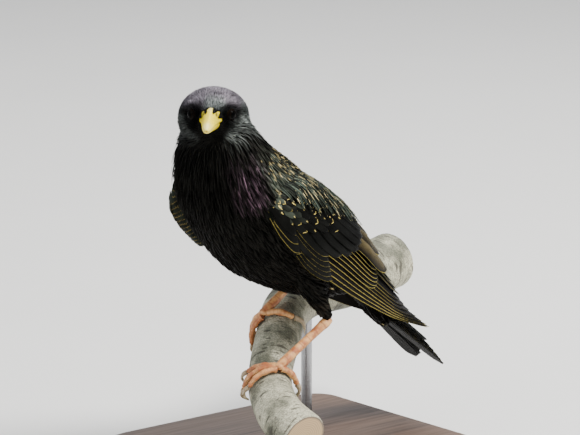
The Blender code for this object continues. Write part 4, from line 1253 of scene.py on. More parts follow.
def flight_feathers(side):
    """Primaries, secondaries and tertials, each a long curved vane with a pale outer edge."""
    pile = Pile()
    s = np.linspace(0.0, 1.0, 24) ** STEP_POWER

    def add(line, tip, start, width, rise, tone, field, blunt, mark):
        tip = tip + draw.uniform(-0.4, 0.4)
        taus = start + (tip - start) * s
        chord = wing_chord(taus)
        outer = 0.003 + 0.045 * line
        wide = np.minimum(width, chord * min(0.30 + 0.075 * line, 0.985 - outer))
        halves = np.maximum(0.5 * wide * rounded(s, blunt), 0.08)
        mids = outer + 0.5 * wide / chord

        def level(tau, q, s):
            return 1.96 + 0.27 * line + rise - 0.22 * q + 0.2 * ease(0.75, 1.0, s)

        add_vane(pile, side, taus, mids, halves, level, tone, STRAW * mark * draw.uniform(0.8, 1.1), field)

    for k, tip in enumerate(PRIMARY_TIPS):
        add(k, tip, -36.0 + k, 8.5, 0.0, FLIGHT_DARK * draw.uniform(1.1, 1.7), rim_field(tip=2.2, thin=0.22),
            9, 1.0 if k < 4 else 0.5)
    for k, tip in enumerate(INNER_TIPS):
        add(9.6 + 1.4 * k, tip, -20.0, 8.0, 0.1, FLIGHT_DARK * draw.uniform(0.9, 1.3), rim_field(tip=4.0),
            9, 0.35)
    for k, tip in enumerate(SECONDARY_TIPS):
        add(3.9 + 0.95 * k, tip, -32.0, 8.0, 0.7, FLIGHT_DARK * draw.uniform(0.6, 1.0), rim_field(tip=4.5),
            14, 1.0)
    for k, (mid, tip, width) in enumerate(TERTIALS):
        taus = -38.0 + (tip + 38.0) * s
        halves = np.maximum(0.5 * width * rounded(s, 8), 0.1)
        halves = np.minimum(halves, np.maximum((1.02 - mid) * wing_chord(taus), 0.8))

        def level(tau, q, s):
            here = mid + q / wing_chord(tau)
            lift = 0.75 + 1.5 * ease(-21.0, -6.0, tau) - 0.04 * q * q
            return crown(tau, np.clip(here, 0.0, 1.0)) + lift + 0.2 * k - 0.10 * q

        add_vane(pile, side, taus, np.full(len(s), mid), halves, level, painted_sheen_middle, STRAW * 0.8,
                 rim_field(tip=5.0, outer=0.98))
    nodes = (f"wing_{side}_primaries", f"wing_{side}_secondaries")
    return settle(pile.make(f"flight_feathers_{side}", FLIGHT), "flight_feathers", *nodes)


def wing_bed(side):
    """The closed arm of the folded wing, under its feathers."""
    s = np.linspace(0.0, 1.0, 26)[:, None]
    v = np.linspace(0.02, 0.97, 18)[None]
    start = wing_start(side, v) + 1.0
    tau = start + s * (-22.0 - start)
    height = np.maximum(wing_top(side, tau, v) - 1.9, -1.3) * ease(-34.0, -40.0, tau)
    over = wing_place(side, tau, v, height + 1.0 * ease(-40.0, -34.0, tau))
    pile = Pile()
    pile.add(*sheet(over, wing_place(side, tau, v, -1.6)))
    return settle(pile.make(f"wing_arm_{side}", DOWN), "flight_feathers")


def add_covert(pile, side, v, tip, length, width, lift, tone, mark, field, drift=0.0, sink=0.9, rows=11,
               power=4):
    """One covert whose root is under the row in front and whose tip lies on the row behind."""
    s = np.linspace(0.0, 1.0, rows) ** STEP_POWER
    taus = tip - length * (1 - s)
    halves = np.maximum(0.5 * width * rounded(s, power) * (0.7 + 0.3 * np.minimum(3 * s, 1)), 0.07)
    mids = v + drift * (1 - s)

    def level(tau, q, s):
        here = np.interp(tau, taus, mids) + q / wing_chord(tau)
        top = wing_top(side, tau, np.clip(here, 0.0, 1.0))
        return top - sink * (1 - s) + lift * s - 0.13 * q - 0.02 * q * q

    add_vane(pile, side, taus, mids, halves, level, tone, mark, field, thick=0.24, rib=0.07)


def coverts(side):
    """Greater, median and lesser coverts in rows, with the alula and the coverts of the primaries."""
    pile = Pile()
    # coverts of the primaries
    for j in range(6):
        tip = -17.0 - 2.6 * j + draw.uniform(-0.5, 0.5)
        add_covert(pile, side, 0.015 + 0.030 * j, tip, 26.0, 3.8, -2.6 + 0.3 * j, COVERT_DARK, STRAW * 0.6,
                   rim_field(tip=2.0, outer=0.975), sink=2.0 - 0.3 * j, power=6)
    # greater coverts
    for j in range(14):
        v = 0.03 + 0.073 * j
        tip = covert_edge(v) + draw.uniform(-0.5, 0.5)
        mark = STRAW * (0.05 + 1.0 * float(ease(0.34, 0.20, v)))
        drop = -1.5 + 1.9 * float(ease(0.25, 0.5, v))
        add_covert(pile, side, v, tip, 24.0, 5.6, drop, COVERT_DARK * draw.uniform(0.8, 1.2), mark,
                   rim_field(tip=2.2, outer=0.9), sink=0.6, power=9)
    # alula
    for j in range(3):
        add_covert(pile, side, 0.01 + 0.036 * j, -44.0 - 3.5 * j, 20.0, 3.6, -0.5 + 0.3 * j, COVERT_DARK,
                   STRAW * 0.75, rim_field(tip=1.5, outer=0.985 if j < 2 else 0.9), sink=0.2, power=6)
    # median coverts and the rows of lesser coverts before them
    row_at, rank = 0.0, 0
    while row_at < 36.0:
        count, length, width = COVERT_ROWS[min(rank, 2)]
        step = 0.98 / count
        for j in range(count):
            v = 0.02 + step * (j + 0.5 * (rank % 2)) + draw.uniform(-0.012, 0.012)
            tip = float(median_edge(v)) - row_at + draw.uniform(-0.8, 0.8)
            room = tip - wing_start(side, v)
            if room < 2.0:
                continue
            size = min(1.0, 0.45 + room / 18.0)
            mark = (BUFF * 0.5 + STRAW * 0.8) * draw.uniform(0.8, 1.3)
            long = (3.0 if rank == 0 else 1.9) * draw.uniform(0.4, 1.1)
            kind = draw.random()
            wide = draw.uniform(-0.05, 0.12) if kind < 0.75 else 0.0
            spot = drop_field(long * 1.35, wide) if 0.38 < kind < 0.75 else chevron_field(long)
            sheen = float(ease(-46.0, -58.0, tip)) * draw.random() ** 2.5
            tone = COVERT_DARK * draw.uniform(0.7, 1.4) + COVERT_SHEEN * sheen
            add_covert(pile, side, v, tip, length * size, width * size, -0.25 + 0.1 * rank, tone, mark,
                       spot, sink=0.7, rows=9, power=4)
        row_at += 5.2 if rank == 0 else 4.4
        rank += 1
    return settle(pile.make(f"wing_coverts_{side}", FLIGHT), "flight_feathers", f"wing_{side}_coverts")


def marginals(side):
    """Small feathers with pale fringes round the front edge of the wing and on to its inner face."""
    pile = Pile()
    s = np.linspace(0.0, 1.0, 8)
    halves = np.maximum(1.35 * rounded(s, 4) * (0.7 + 0.3 * np.minimum(3 * s, 1)), 0.07)

    def level(tau, q, s):
        return 1.45 + 0.75 * s - 0.05 * q * q

    for rank in range(7):
        for j in range(24):
            v = 0.042 * (j + 0.5 * (rank % 2)) + draw.uniform(-0.008, 0.008)
            tip = float(wing_start(side, v)) + 3.4 + 2.5 * rank + draw.uniform(-0.4, 0.4)
            taus = tip - 5.6 * (1 - s ** STEP_POWER)
            tone = FRONT_DARK * draw.uniform(0.6, 1.6)
            add_vane(pile, side, taus, np.full(8, v), halves, level, tone, BUFF * draw.uniform(0.45, 0.9),
                     chevron_field(1.3), thick=0.2, rib=0.05, flip=-1.0)
    return settle(pile.make(f"wing_front_{side}", FLIGHT), "flight_feathers")


def wrist(side):
    """Small feathers with pale fringes, like scales, round the lower front edge of the wing."""
    pile = Pile()
    s = np.linspace(0.0, 1.0, 8)[:, None]
    w = COLUMNS[None]
    long = 5.2
    bulge, ranks, light = (0.045, 16, 1.0) if side == "right" else (0.015, 4, 0.5)
    front = float(wing_start(side, 0.0))
    for rank in range(ranks):
        for j in range(9):
            across = -2.4 + 1.15 * (j + 0.5 * (rank % 2)) + draw.uniform(-0.15, 0.15)
            tip = front + 2.6 + 2.3 * rank + draw.uniform(-0.3, 0.3)
            if across > float(wing_top(side, np.array(tip - 3.0), np.array(0.05))) + 0.5:
                continue
            tau = tip - long * (1 - s ** STEP_POWER) + 0 * w
            half = 1.3 * rounded(s, 4) * ease(-0.1, 0.5, s) + 0.05
            n = across * ease(-4.0, 4.0, tip - long - front + long * s) + half * w
            depth = bulge * (1 - ((n - 2.2) / 4.8) ** 2)
            chord = wing_chord(tau)
            body = keeled(w, 0.2)
            lift = -0.3 + 1.15 * s ** 0.7
            over = wing_place(side, tau, 0.006 - depth - (lift + body / 2) / chord, n)
            under = wing_place(side, tau, 0.006 - depth - (lift - body / 2) / chord, n)
            field = (1 - np.abs(w)) * half * 0.7 + (1 - ease(1.5, 0.7, (1 - s) * long)) * 3.0
            tone = WRIST_DARK * draw.uniform(0.5, 1.6) * light
            mark = BUFF * draw.uniform(0.2, 0.6)
            vane = vane_map(half * w, s * long + 0 * w)
            pile.add(*sheet(over, under), tone=tone, mark=mark, edge=np.tile(field.ravel(), 2),
                     vane=np.concatenate([vane, vane]))
    return settle(pile.make(f"wing_wrist_{side}", FLIGHT), "flight_feathers")


def streaked(green_sheen):
    """A vane with lighter rims, where its painted sheen is brighter."""

    def tone(s, w):
        rim = ease(0.45, 0.95, np.abs(w))[..., None]
        return blend(green_sheen, green_sheen * 4.2 + SCAPULAR_RIM, rim)

    return tone


def scapulars(side):
    """Long narrow shoulder feathers with cream tips, draped over the top of the wing."""
    pile = Pile()
    for rank in range(13):
        for j in range(26):
            tip = -60.0 + 3.7 * rank + draw.uniform(-2.0, 2.0)
            v = 1.02 - 0.029 * j + draw.uniform(-0.012, 0.012)
            if v < np.interp(tip, (-60.0, -45.0, -30.0, -16.0), (0.27, 0.38, 0.52, 0.64)):
                continue
            if v > 0.80 and tip > -31.0:
                continue
            length = 15.5 + draw.uniform(-1.5, 1.5)
            dull = draw.random() < 0.5
            # painted sheen: half the feathers get a strong green sheen, the rest almost none
            green_sheen = SCAPULAR_GREEN_PAINTED_SHEEN * (draw.uniform(0.2, 0.7) if dull else draw.uniform(1.0, 3.6))
            mark = (CREAM * 0.6 + BUFF * 0.4) * draw.uniform(0.7, 1.1)
            luck = draw.random()
            pale = draw.uniform(3.0, 4.6) if luck < 0.22 else (draw.uniform(1.2, 2.4) if luck < 0.5 else 0.3)
            lift = 0.75 + 0.5 * draw.random()
            add_covert(pile, side, v, tip, length, 2.2, lift, streaked(green_sheen), mark, drop_field(pale, 0.42),
                       drift=max(min(0.27, 1.04 - v), 0.02), sink=0.1, rows=9, power=2.4)
    return settle(pile.make(f"shoulder_feathers_{side}", FLIGHT), "body_feathers")


# Tail


def tail_place(s, across, up):
    """Point of the tail: distance along it, to its left, and over its middle plane."""
    along = unit(TAIL_TIP - TAIL_ROOT)
    over = unit(np.cross((0.0, 1.0, 0.0), along))
    over = -over if over[2] < 0 else over
    s, across, up = (x[..., None] for x in np.broadcast_arrays(s, across, up))
    return row(TAIL_ROOT + along * s + np.array((0.0, 1.0, 0.0)) * across + over * up)


def tail_feathers():
    """Twelve tail feathers, the tail a little notched, each with a buff outer edge."""
    pile = Pile()
    span = float(np.linalg.norm(TAIL_TIP - TAIL_ROOT))
    t = np.linspace(0.0, 1.0, 20)[:, None]
    w = COLUMNS[None]
    half = (2.8 + 2.3 * t) * rounded(t, 13, 0.55) + 0.12
    body = keeled(w, 0.30) * (1 - 0.4 * t)
    field = np.minimum((1 - w) * half, (1 + w) * half + 5 * (1 - ease(0.88, 0.97, t))).ravel()
    for j in range(6):
        for sign in SIDES.values():
            full = span + 3.5 - 9.0 * (1.0 - j / 5.0) ** 1.3 + draw.uniform(-0.5, 0.5)
            lift = 3.3 - TAIL_STEP * j + (TAIL_STEP if j == 0 and sign > 0 else 0.0) + 0.26
            s = 12.0 + (full - 12.0) * t + 0 * w
            x = 0.6 + j * (0.30 + 1.35 * t) + half * w
            h = lift - 0.07 * np.maximum(x, 0.0) * t
            over = tail_place(s, sign * x, h + body / 2 + shaft(w, 0.12))
            under = tail_place(s, sign * x, h - body / 2)
            edge = field + (0.08 if j > 3 else 0.16)
            vane = vane_map(half * w, s)
            pile.add(*sheet(over, under), tone=TAIL_DARK * draw.uniform(0.8, 1.2), mark=STRAW * 0.6,
                     edge=np.concatenate([edge, edge + 1.0]), vane=np.concatenate([vane, vane]))
    return settle(pile.make("tail_feathers", TAIL), "flight_feathers", "tail")


# Bill and eyes


def bill_half(name, table, node, upper):
    """One half of the bill: a keeled outer face, a flat cutting edge, and nostrils in the upper half."""
    f = np.linspace(table[0, 0], table[-1, 0], 60)
    k = follow(table[:, 0], table[:, 1:], f)
    edge, outer, wide = (k[:, i:i + 1] for i in range(3))
    t = np.linspace(0.0, math.pi, 30)
    flat = np.linspace(math.pi, 0.0, 12)[1:-1]
    arch, ridge, sag = (UPPER_ARCH, 0.10, 0.10) if upper else (0.8, -0.05, -0.10)
    keel = ridge * np.exp(-((t - math.pi / 2) / 0.22) ** 2)
    u = edge + (outer - edge) * np.maximum(np.sin(t), 0.0) ** arch + keel
    s = wide * np.cos(t) * (1.0 - 0.06 * np.sin(t) ** 2)
    u = np.concatenate([u, edge + sag * np.sin(flat)], 1)
    s = np.concatenate([s, wide * np.cos(flat)], 1)
    f = f[:, None] + 0 * s
    dent = np.zeros_like(s)
    if upper:
        # nostrils: an oval on each side that slopes down toward the tip
        long, high = (f - 16.9) / 1.75, (u - 4.45 + 0.13 * (f - 16.6)) / 0.62
        dent = np.exp(-(long ** 2 + high ** 2) ** 2) * (s != 0)
    s = s - np.sign(s) * dent * 0.85
    u = u - dent * 0.1
    points, faces = tube(head_place(f, s, u))
    # lemon; painted highlight makes the tip and the top paler, and painted shade turns the sides olive
    # toward the base
    along = ((f - 12.0) / 26.0)[..., None]
    top = ease(0.55, 0.95, np.abs(u - edge) / np.maximum(np.abs(outer - edge), 0.1))[..., None]
    pale = ease(0.62, 0.95, along) * (0.35 + 0.45 * top) + ease(0.30, 0.0, along) * top * 0.55
    colour = blend(BILL_LEMON, BILL_TIP_PAINTED_HIGHLIGHT, pale)
    colour = blend(colour, BILL_OLIVE_PAINTED_SHADE, ease(0.75, 0.0, along) * (1 - top) * 0.75)
    # painted shade: dark in the nostril hollows
    colour = blend(colour, NOSTRIL_PAINTED_SHADE, 0.9 * dent[..., None])
    if not upper:
        colour = colour * np.array((0.95, 0.93, 0.95))
    pile = Pile()
    pile.add(points, faces, tone=np.concatenate([colour.reshape(-1, 3), colour[0, :1], colour[-1, :1]]))
    return settle(pile.make(name, BILL_HORN), "bill", node)


def bill_skin(f, t):
    """Point on the upper half of the bill, t round it from the left edge over the culmen."""
    k = follow(BILL_UPPER[:, 0], BILL_UPPER[:, 1:], f)
    edge, outer, wide = (k[..., i] for i in range(3))
    return head_place(f, wide * np.cos(t), edge + (outer - edge) * np.abs(np.sin(t)) ** UPPER_ARCH)


def nasal_feathers():
    """Short feathers that point forward over the base of the bill, in two points on each side."""
    n = 760
    turn = draw.uniform(8.0, 84.0, n)
    reach = 12.4 + 8.4 * np.exp(-((turn - 25.0) / 8.0) ** 2) + 6.8 * np.exp(-((turn - 65.0) / 9.0) ** 2)
    end = reach - (reach - 12.0) * draw.random(n) ** 1.3 * 0.9
    length = draw.uniform(2.0, 3.2, n)
    x = RING_STEPS[None]
    f = end[:, None] - length[:, None] * (1 - x)
    sign = np.where(draw.random(n) < 0.5, 1.0, -1.0)[:, None]
    t = math.pi / 2 - sign * np.radians(turn[:, None] + draw.normal(0.0, 5.0, n)[:, None] * (1 - x))
    here = bill_skin(f, t)
    side = unit(bill_skin(f, t + 0.02) - here)
    way = unit(bill_skin(f + 0.05, t) - here)
    up = np.cross(side, way)
    up = np.where(np.sum(up * (here - head_place(f, 0.0, 1.0)), -1, keepdims=True) < 0, -up, up)
    points = here + up * (0.05 + 0.25 * x)[..., None]
    colour = (INK * 1.2)[None, None] * (0.6 + 0.8 * draw.random(n))[:, None, None] + 0 * points
    uv = map_place(HEAD_MAP, turn / 360.0, head_share(f[:, 0]))
    width = np.full(n, 0.26)
    vanes("feathers_nasal", points, np.cross(up, way), up, width, length, LANCE[None] + 0 * x, colour, uv)


def eye_axes(side):
    """Centre of an eye, its outward axis, and the upward and sideways directions across that."""
    f, s, u = EYE_AT
    sign = SIDES[side]
    centre = head_place(f, s * sign, u)
    out = unit(head_place(f + 0.66, (s + 0.75) * sign, u + 0.04) - centre)
    over = unit(UP - out * out[2])
    return centre, out, over, np.cross(out, over)


def eyes(side):
    """Eyeball, its pupil and iris told apart by the angle from its axis."""
    centre, out, over, across = eye_axes(side)
    a = np.linspace(0.0, math.pi, 34)[1:-1][:, None, None]
    t = circle(48)[None, :, None]
    bulge = EYE_R * (1.0 + 0.03 * np.exp(-(a / 0.5) ** 2))
    ring = bulge * (out * np.cos(a) + (over * np.cos(t) + across * np.sin(t)) * np.sin(a))
    points, faces = tube(centre + ring)
    turn = np.repeat(np.degrees(a.ravel()) / IRIS_ANGLE, 48)
    pile = Pile()
    pile.add(points, faces, ring=np.append(turn, (0.0, 180.0 / IRIS_ANGLE)))
    return settle(pile.make(f"eyeball_{side}", EYE), "eye", f"eye_{side}")


def eyelids(side):
    """Bare rim of the lids: a soft ring that hugs the eyeball, with a corner front and back."""
    centre, out, over, across = eye_axes(side)
    t = circle(72)[:, None]
    gape = math.radians(38.0) * (1.0 - (0.09 * np.cos(2 * t) + 0.03 * np.cos(4 * t)))
    way = over * np.cos(t) * 0.96 + across * np.sin(t)
    lift = out * np.cos(gape) + way * np.sin(gape)
    slide = way * np.cos(gape) - out * np.sin(gape)
    thick = 0.25 * np.where(np.cos(t) < 0, 1.0, 0.75) * (1 + 0.12 * np.sin(17 * t))
    b = circle(14)[None, :, None]
    bead = unit(lift)[:, None] * np.cos(b) * 0.8 + slide[:, None] * np.sin(b)
    rings = centre + (lift * (EYE_R + 0.08))[:, None] + thick[:, None] * bead
    points = rings.reshape(-1, 3)
    faces = outward(points - points.mean(0), grid_faces(72, 14, onward=True))
    pale = (0.12 + 0.88 * ease(0.1, -0.6, np.cos(t)))[:, None]
    pile = Pile()
    pile.add(points, faces, tone=LID_DARK * pale + 0 * rings)
    return settle(pile.make(f"eyelids_{side}", LID), "body_feathers")


# Legs, perch and stand


def along_perch(s):
    """Middle and radius of the branch at a share of its length."""
    line = row(PERCH[:, :3])
    keys = run_length(line)
    keys /= keys[-1]
    return follow(keys, line, s), follow(keys, PERCH[:, 3], s)


def perch_length():
    return float(run_length(row(PERCH[:, :3]))[-1])


def foot_place(side, arc, drift, lift):
    """Point round the perch, by degrees forward from the foot's joint and by drift along the perch."""
    start = run_length(row(PERCH[:FOOT_STATION[side], :3]))[-1]
    s = (start + drift) / perch_length()
    centre, r = along_perch(np.array(s))
    d = unit(along_perch(np.array(s + 0.004))[0] - along_perch(np.array(s - 0.004))[0])
    up = unit(UP - d * d[2])
    ahead = np.cross(up, d)
    ahead = -ahead if ahead[1] > 0 else ahead
    a = math.radians(arc + FOOT_TURN[side])
    return centre + (up * math.cos(a) + ahead * math.sin(a)) * (r + lift)


class Tree:
    """A tree of Geometry Nodes with named inputs, and short ways to build it and to run it."""

    def __init__(self, name, result, **given):
        self.tree = bpy.data.node_groups.new(name, "GeometryNodeTree")
        self.ids = {}
        for key, kind in given.items():
            made = self.tree.interface.new_socket(key.replace("_", " "), in_out="INPUT",
                                                  socket_type="NodeSocket" + kind)
            self.ids[key] = made.identifier
        self.tree.interface.new_socket(result, in_out="OUTPUT", socket_type="NodeSocketGeometry")
        self.start = self.tree.nodes.new("NodeGroupInput")
        self.end = self.tree.nodes.new("NodeGroupOutput")

    def given(self, key):
        return self.start.outputs[key.replace("_", " ")]

    def node(self, kind, inputs=None, **settings):
        return add_node(self.tree, kind, inputs or {}, settings).outputs

    def shape(self, kind, inputs=None, **settings):
        return self.node("GeometryNode" + kind, inputs, **settings)

    def attribute(self, name, kind):
        return self.shape("InputNamedAttribute", {"Name": name}, data_type=kind)["Attribute"]

    def close(self, shape, material):
        """The last two nodes: real meshes, in their material."""
        real = self.shape("RealizeInstances", {"Geometry": shape})["Geometry"]
        paint = self.shape("SetMaterial", {"Geometry": real, "Material": self.given(material)})
        self.tree.links.new(paint["Geometry"], self.end.inputs[0])

    def run(self, obj, **values):
        """The object with the plain mesh that the tree makes of it."""
        change = obj.modifiers.new(self.tree.name, "NODES")
        change.node_group = self.tree
        for key, value in values.items():
            change[self.ids[key]] = value
        return made_real(obj)


def scaled_limb_tree():
    """Tree that turns a line of points into a closed limb, thick as the points say."""
    tree = Tree("Scaled limb", "Limb", Path="Geometry", Sides="Int", Scales="Material")
    thick = tree.attribute("thick", "FLOAT")
    curve = tree.shape("MeshToCurve", {"Mesh": tree.given("Path")})["Curve"]
    curve = tree.shape("SetCurveRadius", {"Curve": curve, "Radius": thick})["Curve"]
    profile = tree.shape("CurvePrimitiveCircle", {"Resolution": tree.given("Sides"), "Radius": 1.0})["Curve"]
    limb = tree.shape("CurveToMesh", {"Curve": curve, "Profile Curve": profile, "Scale": thick,
                                      "Fill Caps": True})["Mesh"]
    tree.close(tree.shape("SetShadeSmooth", {"Geometry": limb})["Geometry"], "Scales")
    return tree


LIMB = scaled_limb_tree()


def scaled_limb(name, lines):
    """Limbs swept along lines of (points, radii, seams), all in one piece."""
    mesh = bpy.data.meshes.new(name)
    points, edges, thick, seam = [], [], [], []
    for path, radii, seams in lines:
        first = len(points)
        points += [tuple(p * MM) for p in path]
        edges += [(first + i, first + i + 1) for i in range(len(path) - 1)]
        thick += [r * MM for r in radii]
        seam += list(seams)
    mesh.from_pydata(points, edges, [])
    for key, values in (("thick", thick), ("seam", seam)):
        layer = mesh.attributes.new(key, "FLOAT", "POINT")
        layer.data.foreach_set("value", np.array(values, np.float32))
    return LIMB.run(show(name, mesh), Sides=20, Scales=LEG)


def scutes(count, x, depth):
    """Step-backed plates along a limb: a radius factor and how near each point is to a seam."""
    phase = (x * count) % 1.0
    swell = depth * ((1.0 - phase) ** 0.6 - 0.9 * np.exp(-(phase / 0.06) ** 2) - 0.5)
    return 1.0 + swell, np.exp(-(np.minimum(phase, 1 - phase) / 0.10) ** 2)


def smooth_path(points, count):
    keys = run_length(points)
    return follow(keys / keys[-1], points, np.linspace(0.0, 1.0, count))


def toe_line(side, toe):
    """Path, radii and seams of a toe round the perch, with its pads and plates."""
    reach, root, end, r, _ = TOES[toe]
    sign = -SIDES[side]
    start, joints, plates = (-6.0, 2, 8) if toe == "hind" else (6.0, 3, 11)
    path = []
    for t in np.linspace(0.0, 1.0, 14):
        arc, drift = start + (reach - start) * t, root + (end - root) * t
        path.append(foot_place(side, arc, sign * drift, r + 0.30 + 0.5 * (1 - t)))
    x = np.linspace(0.0, 1.0, 110)
    pad = 0.11 * np.cos(2 * math.pi * joints * x)
    factor, seam = scutes(plates, x, 0.045)
    ends = np.minimum(1.0, np.sqrt(np.clip((1.0 - x) * 14.0, 0.0, 1.0)) * 0.75 + 0.25)
    radii = r * 1.1 * (1.04 - 0.18 * x + pad * (1 - 0.3 * x)) * factor * ends
    return smooth_path(path, 110), radii, seam


def claw_mesh(side, toe):
    """Points, triangles and colours of a curved claw, deeper than wide."""
    reach, _, end, r, claw = TOES[toe]
    sign = -SIDES[side]
    begin = reach + math.copysign(1.5, claw)
    t = np.linspace(0.0, 1.0, 20)
    lift = r * 1.12 + 0.35 + 1.5 * np.sin(math.pi * np.minimum(t * 1.15, 1.0)) * (1 - 0.3 * t) - 0.55 * t
    arc = begin + (claw + math.copysign(3.0, claw)) * t
    path = np.array([foot_place(side, a, sign * (end + 0.15 * x), up) for a, x, up in zip(arc, t, lift)])
    radii = 1.1 * (1.0 - t) ** 0.65 * (r / 1.2) + 0.07
    along = unit(np.gradient(path, axis=0))
    over = unit(np.cross(along, np.cross((0.2, 0.1, 1.0), along)))
    across = np.cross(along, over)
    b = circle(16)[None, :, None]
    ring = over[:, None] * np.cos(b) + across[:, None] * np.sin(b) * 0.72
    points, faces = tube(path[:, None] + radii[:, None, None] * ring)
    tone = np.repeat(blend(CLAW_BASE, CLAW_TIP, t[:, None]), 16, 0)
    return points, faces, np.concatenate([tone, tone[:1], tone[-1:]])


def legs(side):
    """Tarsus with its front plates, the ankle, four scaled toes and their claws."""
    joint = foot_place(side, 0.0, 0.0, 2.9)
    ankle = row(np.array(ANKLE[side]))
    along = unit(ankle - joint)
    low = joint - along * 0.2
    x = np.linspace(0.0, 1.0, 130)
    path = low + (ankle + along - low) * x[:, None]
    radii = follow(SHANK_RADII[0], SHANK_RADII[1], x)
    factor, seam = scutes(7, x, 0.035)
    shank = scaled_limb(f"shank_{side}", [(path, radii * factor * 0.97, seam)])
    settle(shank, "leg_skin", f"tarsus_{side}")
    ball = np.linspace(-1.0, 1.0, 26)
    ball_path = joint + unit((0.1, 0.2, 1.0)) * ball[:, None] * 1.7
    ball_radii = 2.15 * np.sqrt(np.maximum(1 - ball ** 2, 0.002))
    lines = [(ball_path, ball_radii, np.zeros(26))] + [toe_line(side, toe) for toe in TOES]
    settle(scaled_limb(f"toes_{side}", lines), "leg_skin", f"foot_{side}")
    pile = Pile()
    for toe in TOES:
        points, faces, tone = claw_mesh(side, toe)
        pile.add(points, faces, tone=tone)
    nodes = [f"claw_{side}_{toe}" for toe in TOES]
    settle(pile.make(f"claws_{side}", CLAW_HORN), "claw", *nodes)


def sawn_end(rim, out):
    """A thin disc over a sawn end: points, triangles and how far out each point is."""
    share = np.linspace(0.0, 1.0, 14)[1:]
    middle = rim.mean(0)
    face = middle + (rim - middle) * share[:, None, None] * 0.998
    points, faces = tube(np.concatenate([face + out * 0.02, face[::-1] - out * 0.48]))
    ring = np.repeat(np.concatenate([share, share[::-1]]), len(rim))
    return points, faces, np.append(ring, (0.0, 0.0))


def perch():
    """The cut branch: bark with low swellings, and its two sawn ends."""
    rings, sides = 260, 96
    s = np.linspace(0.0, 1.0, rings)
    centre, r = along_perch(s)
    along = unit(np.gradient(centre, axis=0))
    over = np.zeros_like(centre)
    way = UP
    for i, d in enumerate(along):
        way = unit(way - d * way.dot(d))
        over[i] = way
    across = np.cross(along, over)
    t = circle(sides)[None]
    mm = (s * perch_length())[:, None]
    wave = 0.012 * np.sin(2 * t + 0.4 + mm * 0.02) + 0.008 * np.sin(3 * t + 2.0 - mm * 0.03) - 0.016
    ridge = 0.0045 * np.sin(9 * t + 3 * np.sin(mm * 0.03)) + 0.003 * np.sin(23 * t + 2 * np.sin(mm * 0.05))
    swell = 0.010 * np.sin(mm * 0.11 + 1.3 * np.sin(t)) * np.cos(t - 1.0)
    ends = -0.05 * (np.exp(-mm / 0.7) + np.exp(-(perch_length() - mm) / 0.7))
    radius = (r[:, None] * (1.0 + wave + ridge + swell + ends))[..., None]
    spoke = over[:, None] * np.cos(t)[..., None] + across[:, None] * np.sin(t)[..., None]
    ring = centre[:, None] + radius * spoke
    # the first column comes again at the end, so that the bark's map is whole round the branch
    wrap = np.concatenate([ring, ring[:, :1]], 1)
    points = wrap.reshape(-1, 3)
    faces = outward(points - points.mean(0), grid_faces(rings, sides + 1, around=False))
    turn = np.linspace(0.0, 2 * math.pi, sides + 1)[None] + 0 * mm
    pile = Pile()
    pile.add(points, faces, bark=np.stack([turn * BARK_RADIUS * MM, mm * MM + 0 * turn], -1))
    branch = pile.make("branch_bark", BARK)
    around = branch.data.attributes.new("around", "FLOAT_VECTOR", "POINT")
    around.data.foreach_set("vector", unit(np.gradient(wrap, axis=1)).ravel())
    settle(branch, "bark", "perch")
    pile = Pile()
    for end, inside in ((0, 1), (-1, -2)):
        points, faces, share = sawn_end(ring[end], unit(centre[end] - centre[inside]))
        pile.add(points, faces, ring=share)
    settle(pile.make("branch_ends", CUT_WOOD), "bark")
    return branch


def lenticel_tree():
    """Tree that scatters small raised pores over the bark."""
    tree = Tree("Bark pores", "Pores", Bark="Geometry", Per_square_metre="Float", Pore_radius="Float",
                Pore="Material")
    spread = tree.shape("DistributePointsOnFaces", {"Mesh": tree.given("Bark"), "Seed": 5,
                                                    "Density": tree.given("Per_square_metre")})
    bead = tree.shape("MeshIcoSphere", {"Radius": tree.given("Pore_radius"), "Subdivisions": 2})["Mesh"]
    bead = tree.shape("Transform", {"Geometry": bead, "Scale": (1.7, 0.6, 0.22)})["Geometry"]
    bead = tree.shape("SetShadeSmooth", {"Geometry": bead})["Geometry"]
    lay = tree.node("FunctionNodeAlignRotationToVector", {
        "Rotation": spread["Rotation"], "Vector": tree.attribute("around", "FLOAT_VECTOR")},
        axis="X", pivot_axis="Z")["Rotation"]
    luck = tree.node("FunctionNodeRandomValue", {"Min": 0.5, "Max": 1.5, "Seed": 8},
                     data_type="FLOAT")[1]
    put = tree.shape("InstanceOnPoints", {"Points": spread["Points"], "Instance": bead, "Rotation": lay,
                                          "Scale": luck})["Instances"]
    tree.close(put, "Pore")
    return tree


def pores(branch):
    """Small dark pores of the bark, kept as one mesh."""
    obj = show("branch_pores", branch.data.copy())
    lenticel_tree().run(obj, Per_square_metre=14000.0, Pore_radius=0.00034, Pore=pore_finish())
    return settle(obj, "bark")


def stand():
    """The stand keeps its own solids, in better materials."""
    wood, metal = stand_wood_finish(), rod_finish()
    for name, material in (("stand_base", wood), ("stand_rod_near", metal), ("stand_rod_far", metal)):
        mesh = frame["nodes"][name].data
        mesh.materials.clear()
        mesh.materials.append(material)


# Floor, light and camera


def floor():
    r = 6.0
    mesh = bpy.data.meshes.new("floor")
    mesh.from_pydata([(-r, -r, 0.0), (r, -r, 0.0), (r, r, 0.0), (-r, r, 0.0)], [], [(0, 1, 2, 3)])
    mesh.materials.append(floor_finish())
    show("floor", mesh)


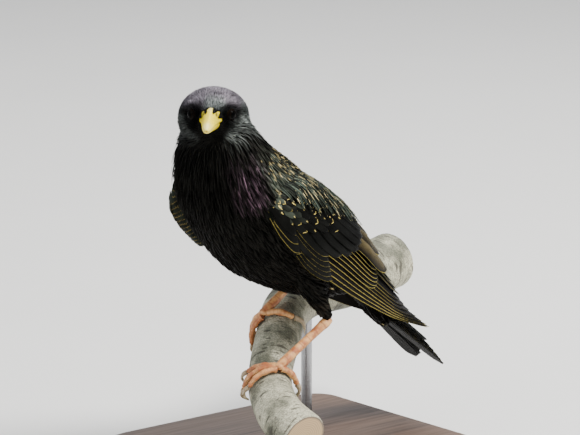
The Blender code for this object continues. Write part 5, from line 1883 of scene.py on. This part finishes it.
def area_light(name, place, size, power, colour):
    data = bpy.data.lights.new(name, "AREA")
    data.shape = "DISK"
    data.size, data.energy, data.color = size, power, colour
    obj = show(name, data)
    obj.location = place
    obj.rotation_euler = (Vector((0.0, 0.0, 0.1)) - Vector(place)).to_track_quat("-Z", "Y").to_euler()


def light_and_camera():
    """Pale studio light from all round, three soft lamps, and the view of the picture."""
    world = bpy.data.worlds.new("studio")
    world.use_nodes = True
    sky = world.node_tree.nodes["Background"]
    sky.inputs[0].default_value = (0.93, 0.95, 1.0, 1.0)
    sky.inputs[1].default_value = 0.62
    bpy.context.scene.world = world
    right = np.array((math.cos(VIEW_TURN), math.sin(VIEW_TURN), 0.0))
    away = np.array((-math.sin(VIEW_TURN), math.cos(VIEW_TURN), 0.0))
    look = away * math.cos(VIEW_TILT) - UP * math.sin(VIEW_TILT)
    up = np.cross(right, look)
    centre = [x / PIXELS_PER_MM for x in PICTURE_CENTRE]
    target = row(np.zeros(3)) + right * centre[0] + up * centre[1]
    data = bpy.data.cameras.new("camera")
    data.sensor_width = 36.0
    data.lens = data.sensor_width * VIEW_DISTANCE / (PICTURE_WIDTH / PIXELS_PER_MM)
    data.clip_start, data.clip_end = 0.05, 50.0
    camera = show("camera", data)
    camera.location = (target - look * VIEW_DISTANCE) * MM
    camera.rotation_euler = Vector(look).to_track_quat("-Z", "Y").to_euler()
    bpy.context.scene.camera = camera
    middle = target * MM
    area_light("key", middle + right * 0.75 - away * 0.35 + UP, 0.55, 34.0, (1.0, 0.98, 0.95))
    area_light("fill", middle - right * 0.9 - away * 0.6 + UP * 0.7, 0.9, 6.5, (0.93, 0.97, 1.0))
    area_light("back", middle + right * 0.2 + away * 0.8 + UP * 1.1, 0.7, 14.0, (1.0, 1.0, 0.97))


dress_body()
for side in SIDES:
    wing_bed(side)
    flight_feathers(side)
    coverts(side)
    marginals(side)
    wrist(side)
    scapulars(side)
    eyes(side)
    eyelids(side)
    legs(side)
tail_feathers()
bill_half("bill_top", BILL_UPPER, "bill_upper", True)
bill_half("bill_under", BILL_LOWER, "bill_lower", False)
nasal_feathers()
branch = perch()
pores(branch)
stand()
floor()
light_and_camera()
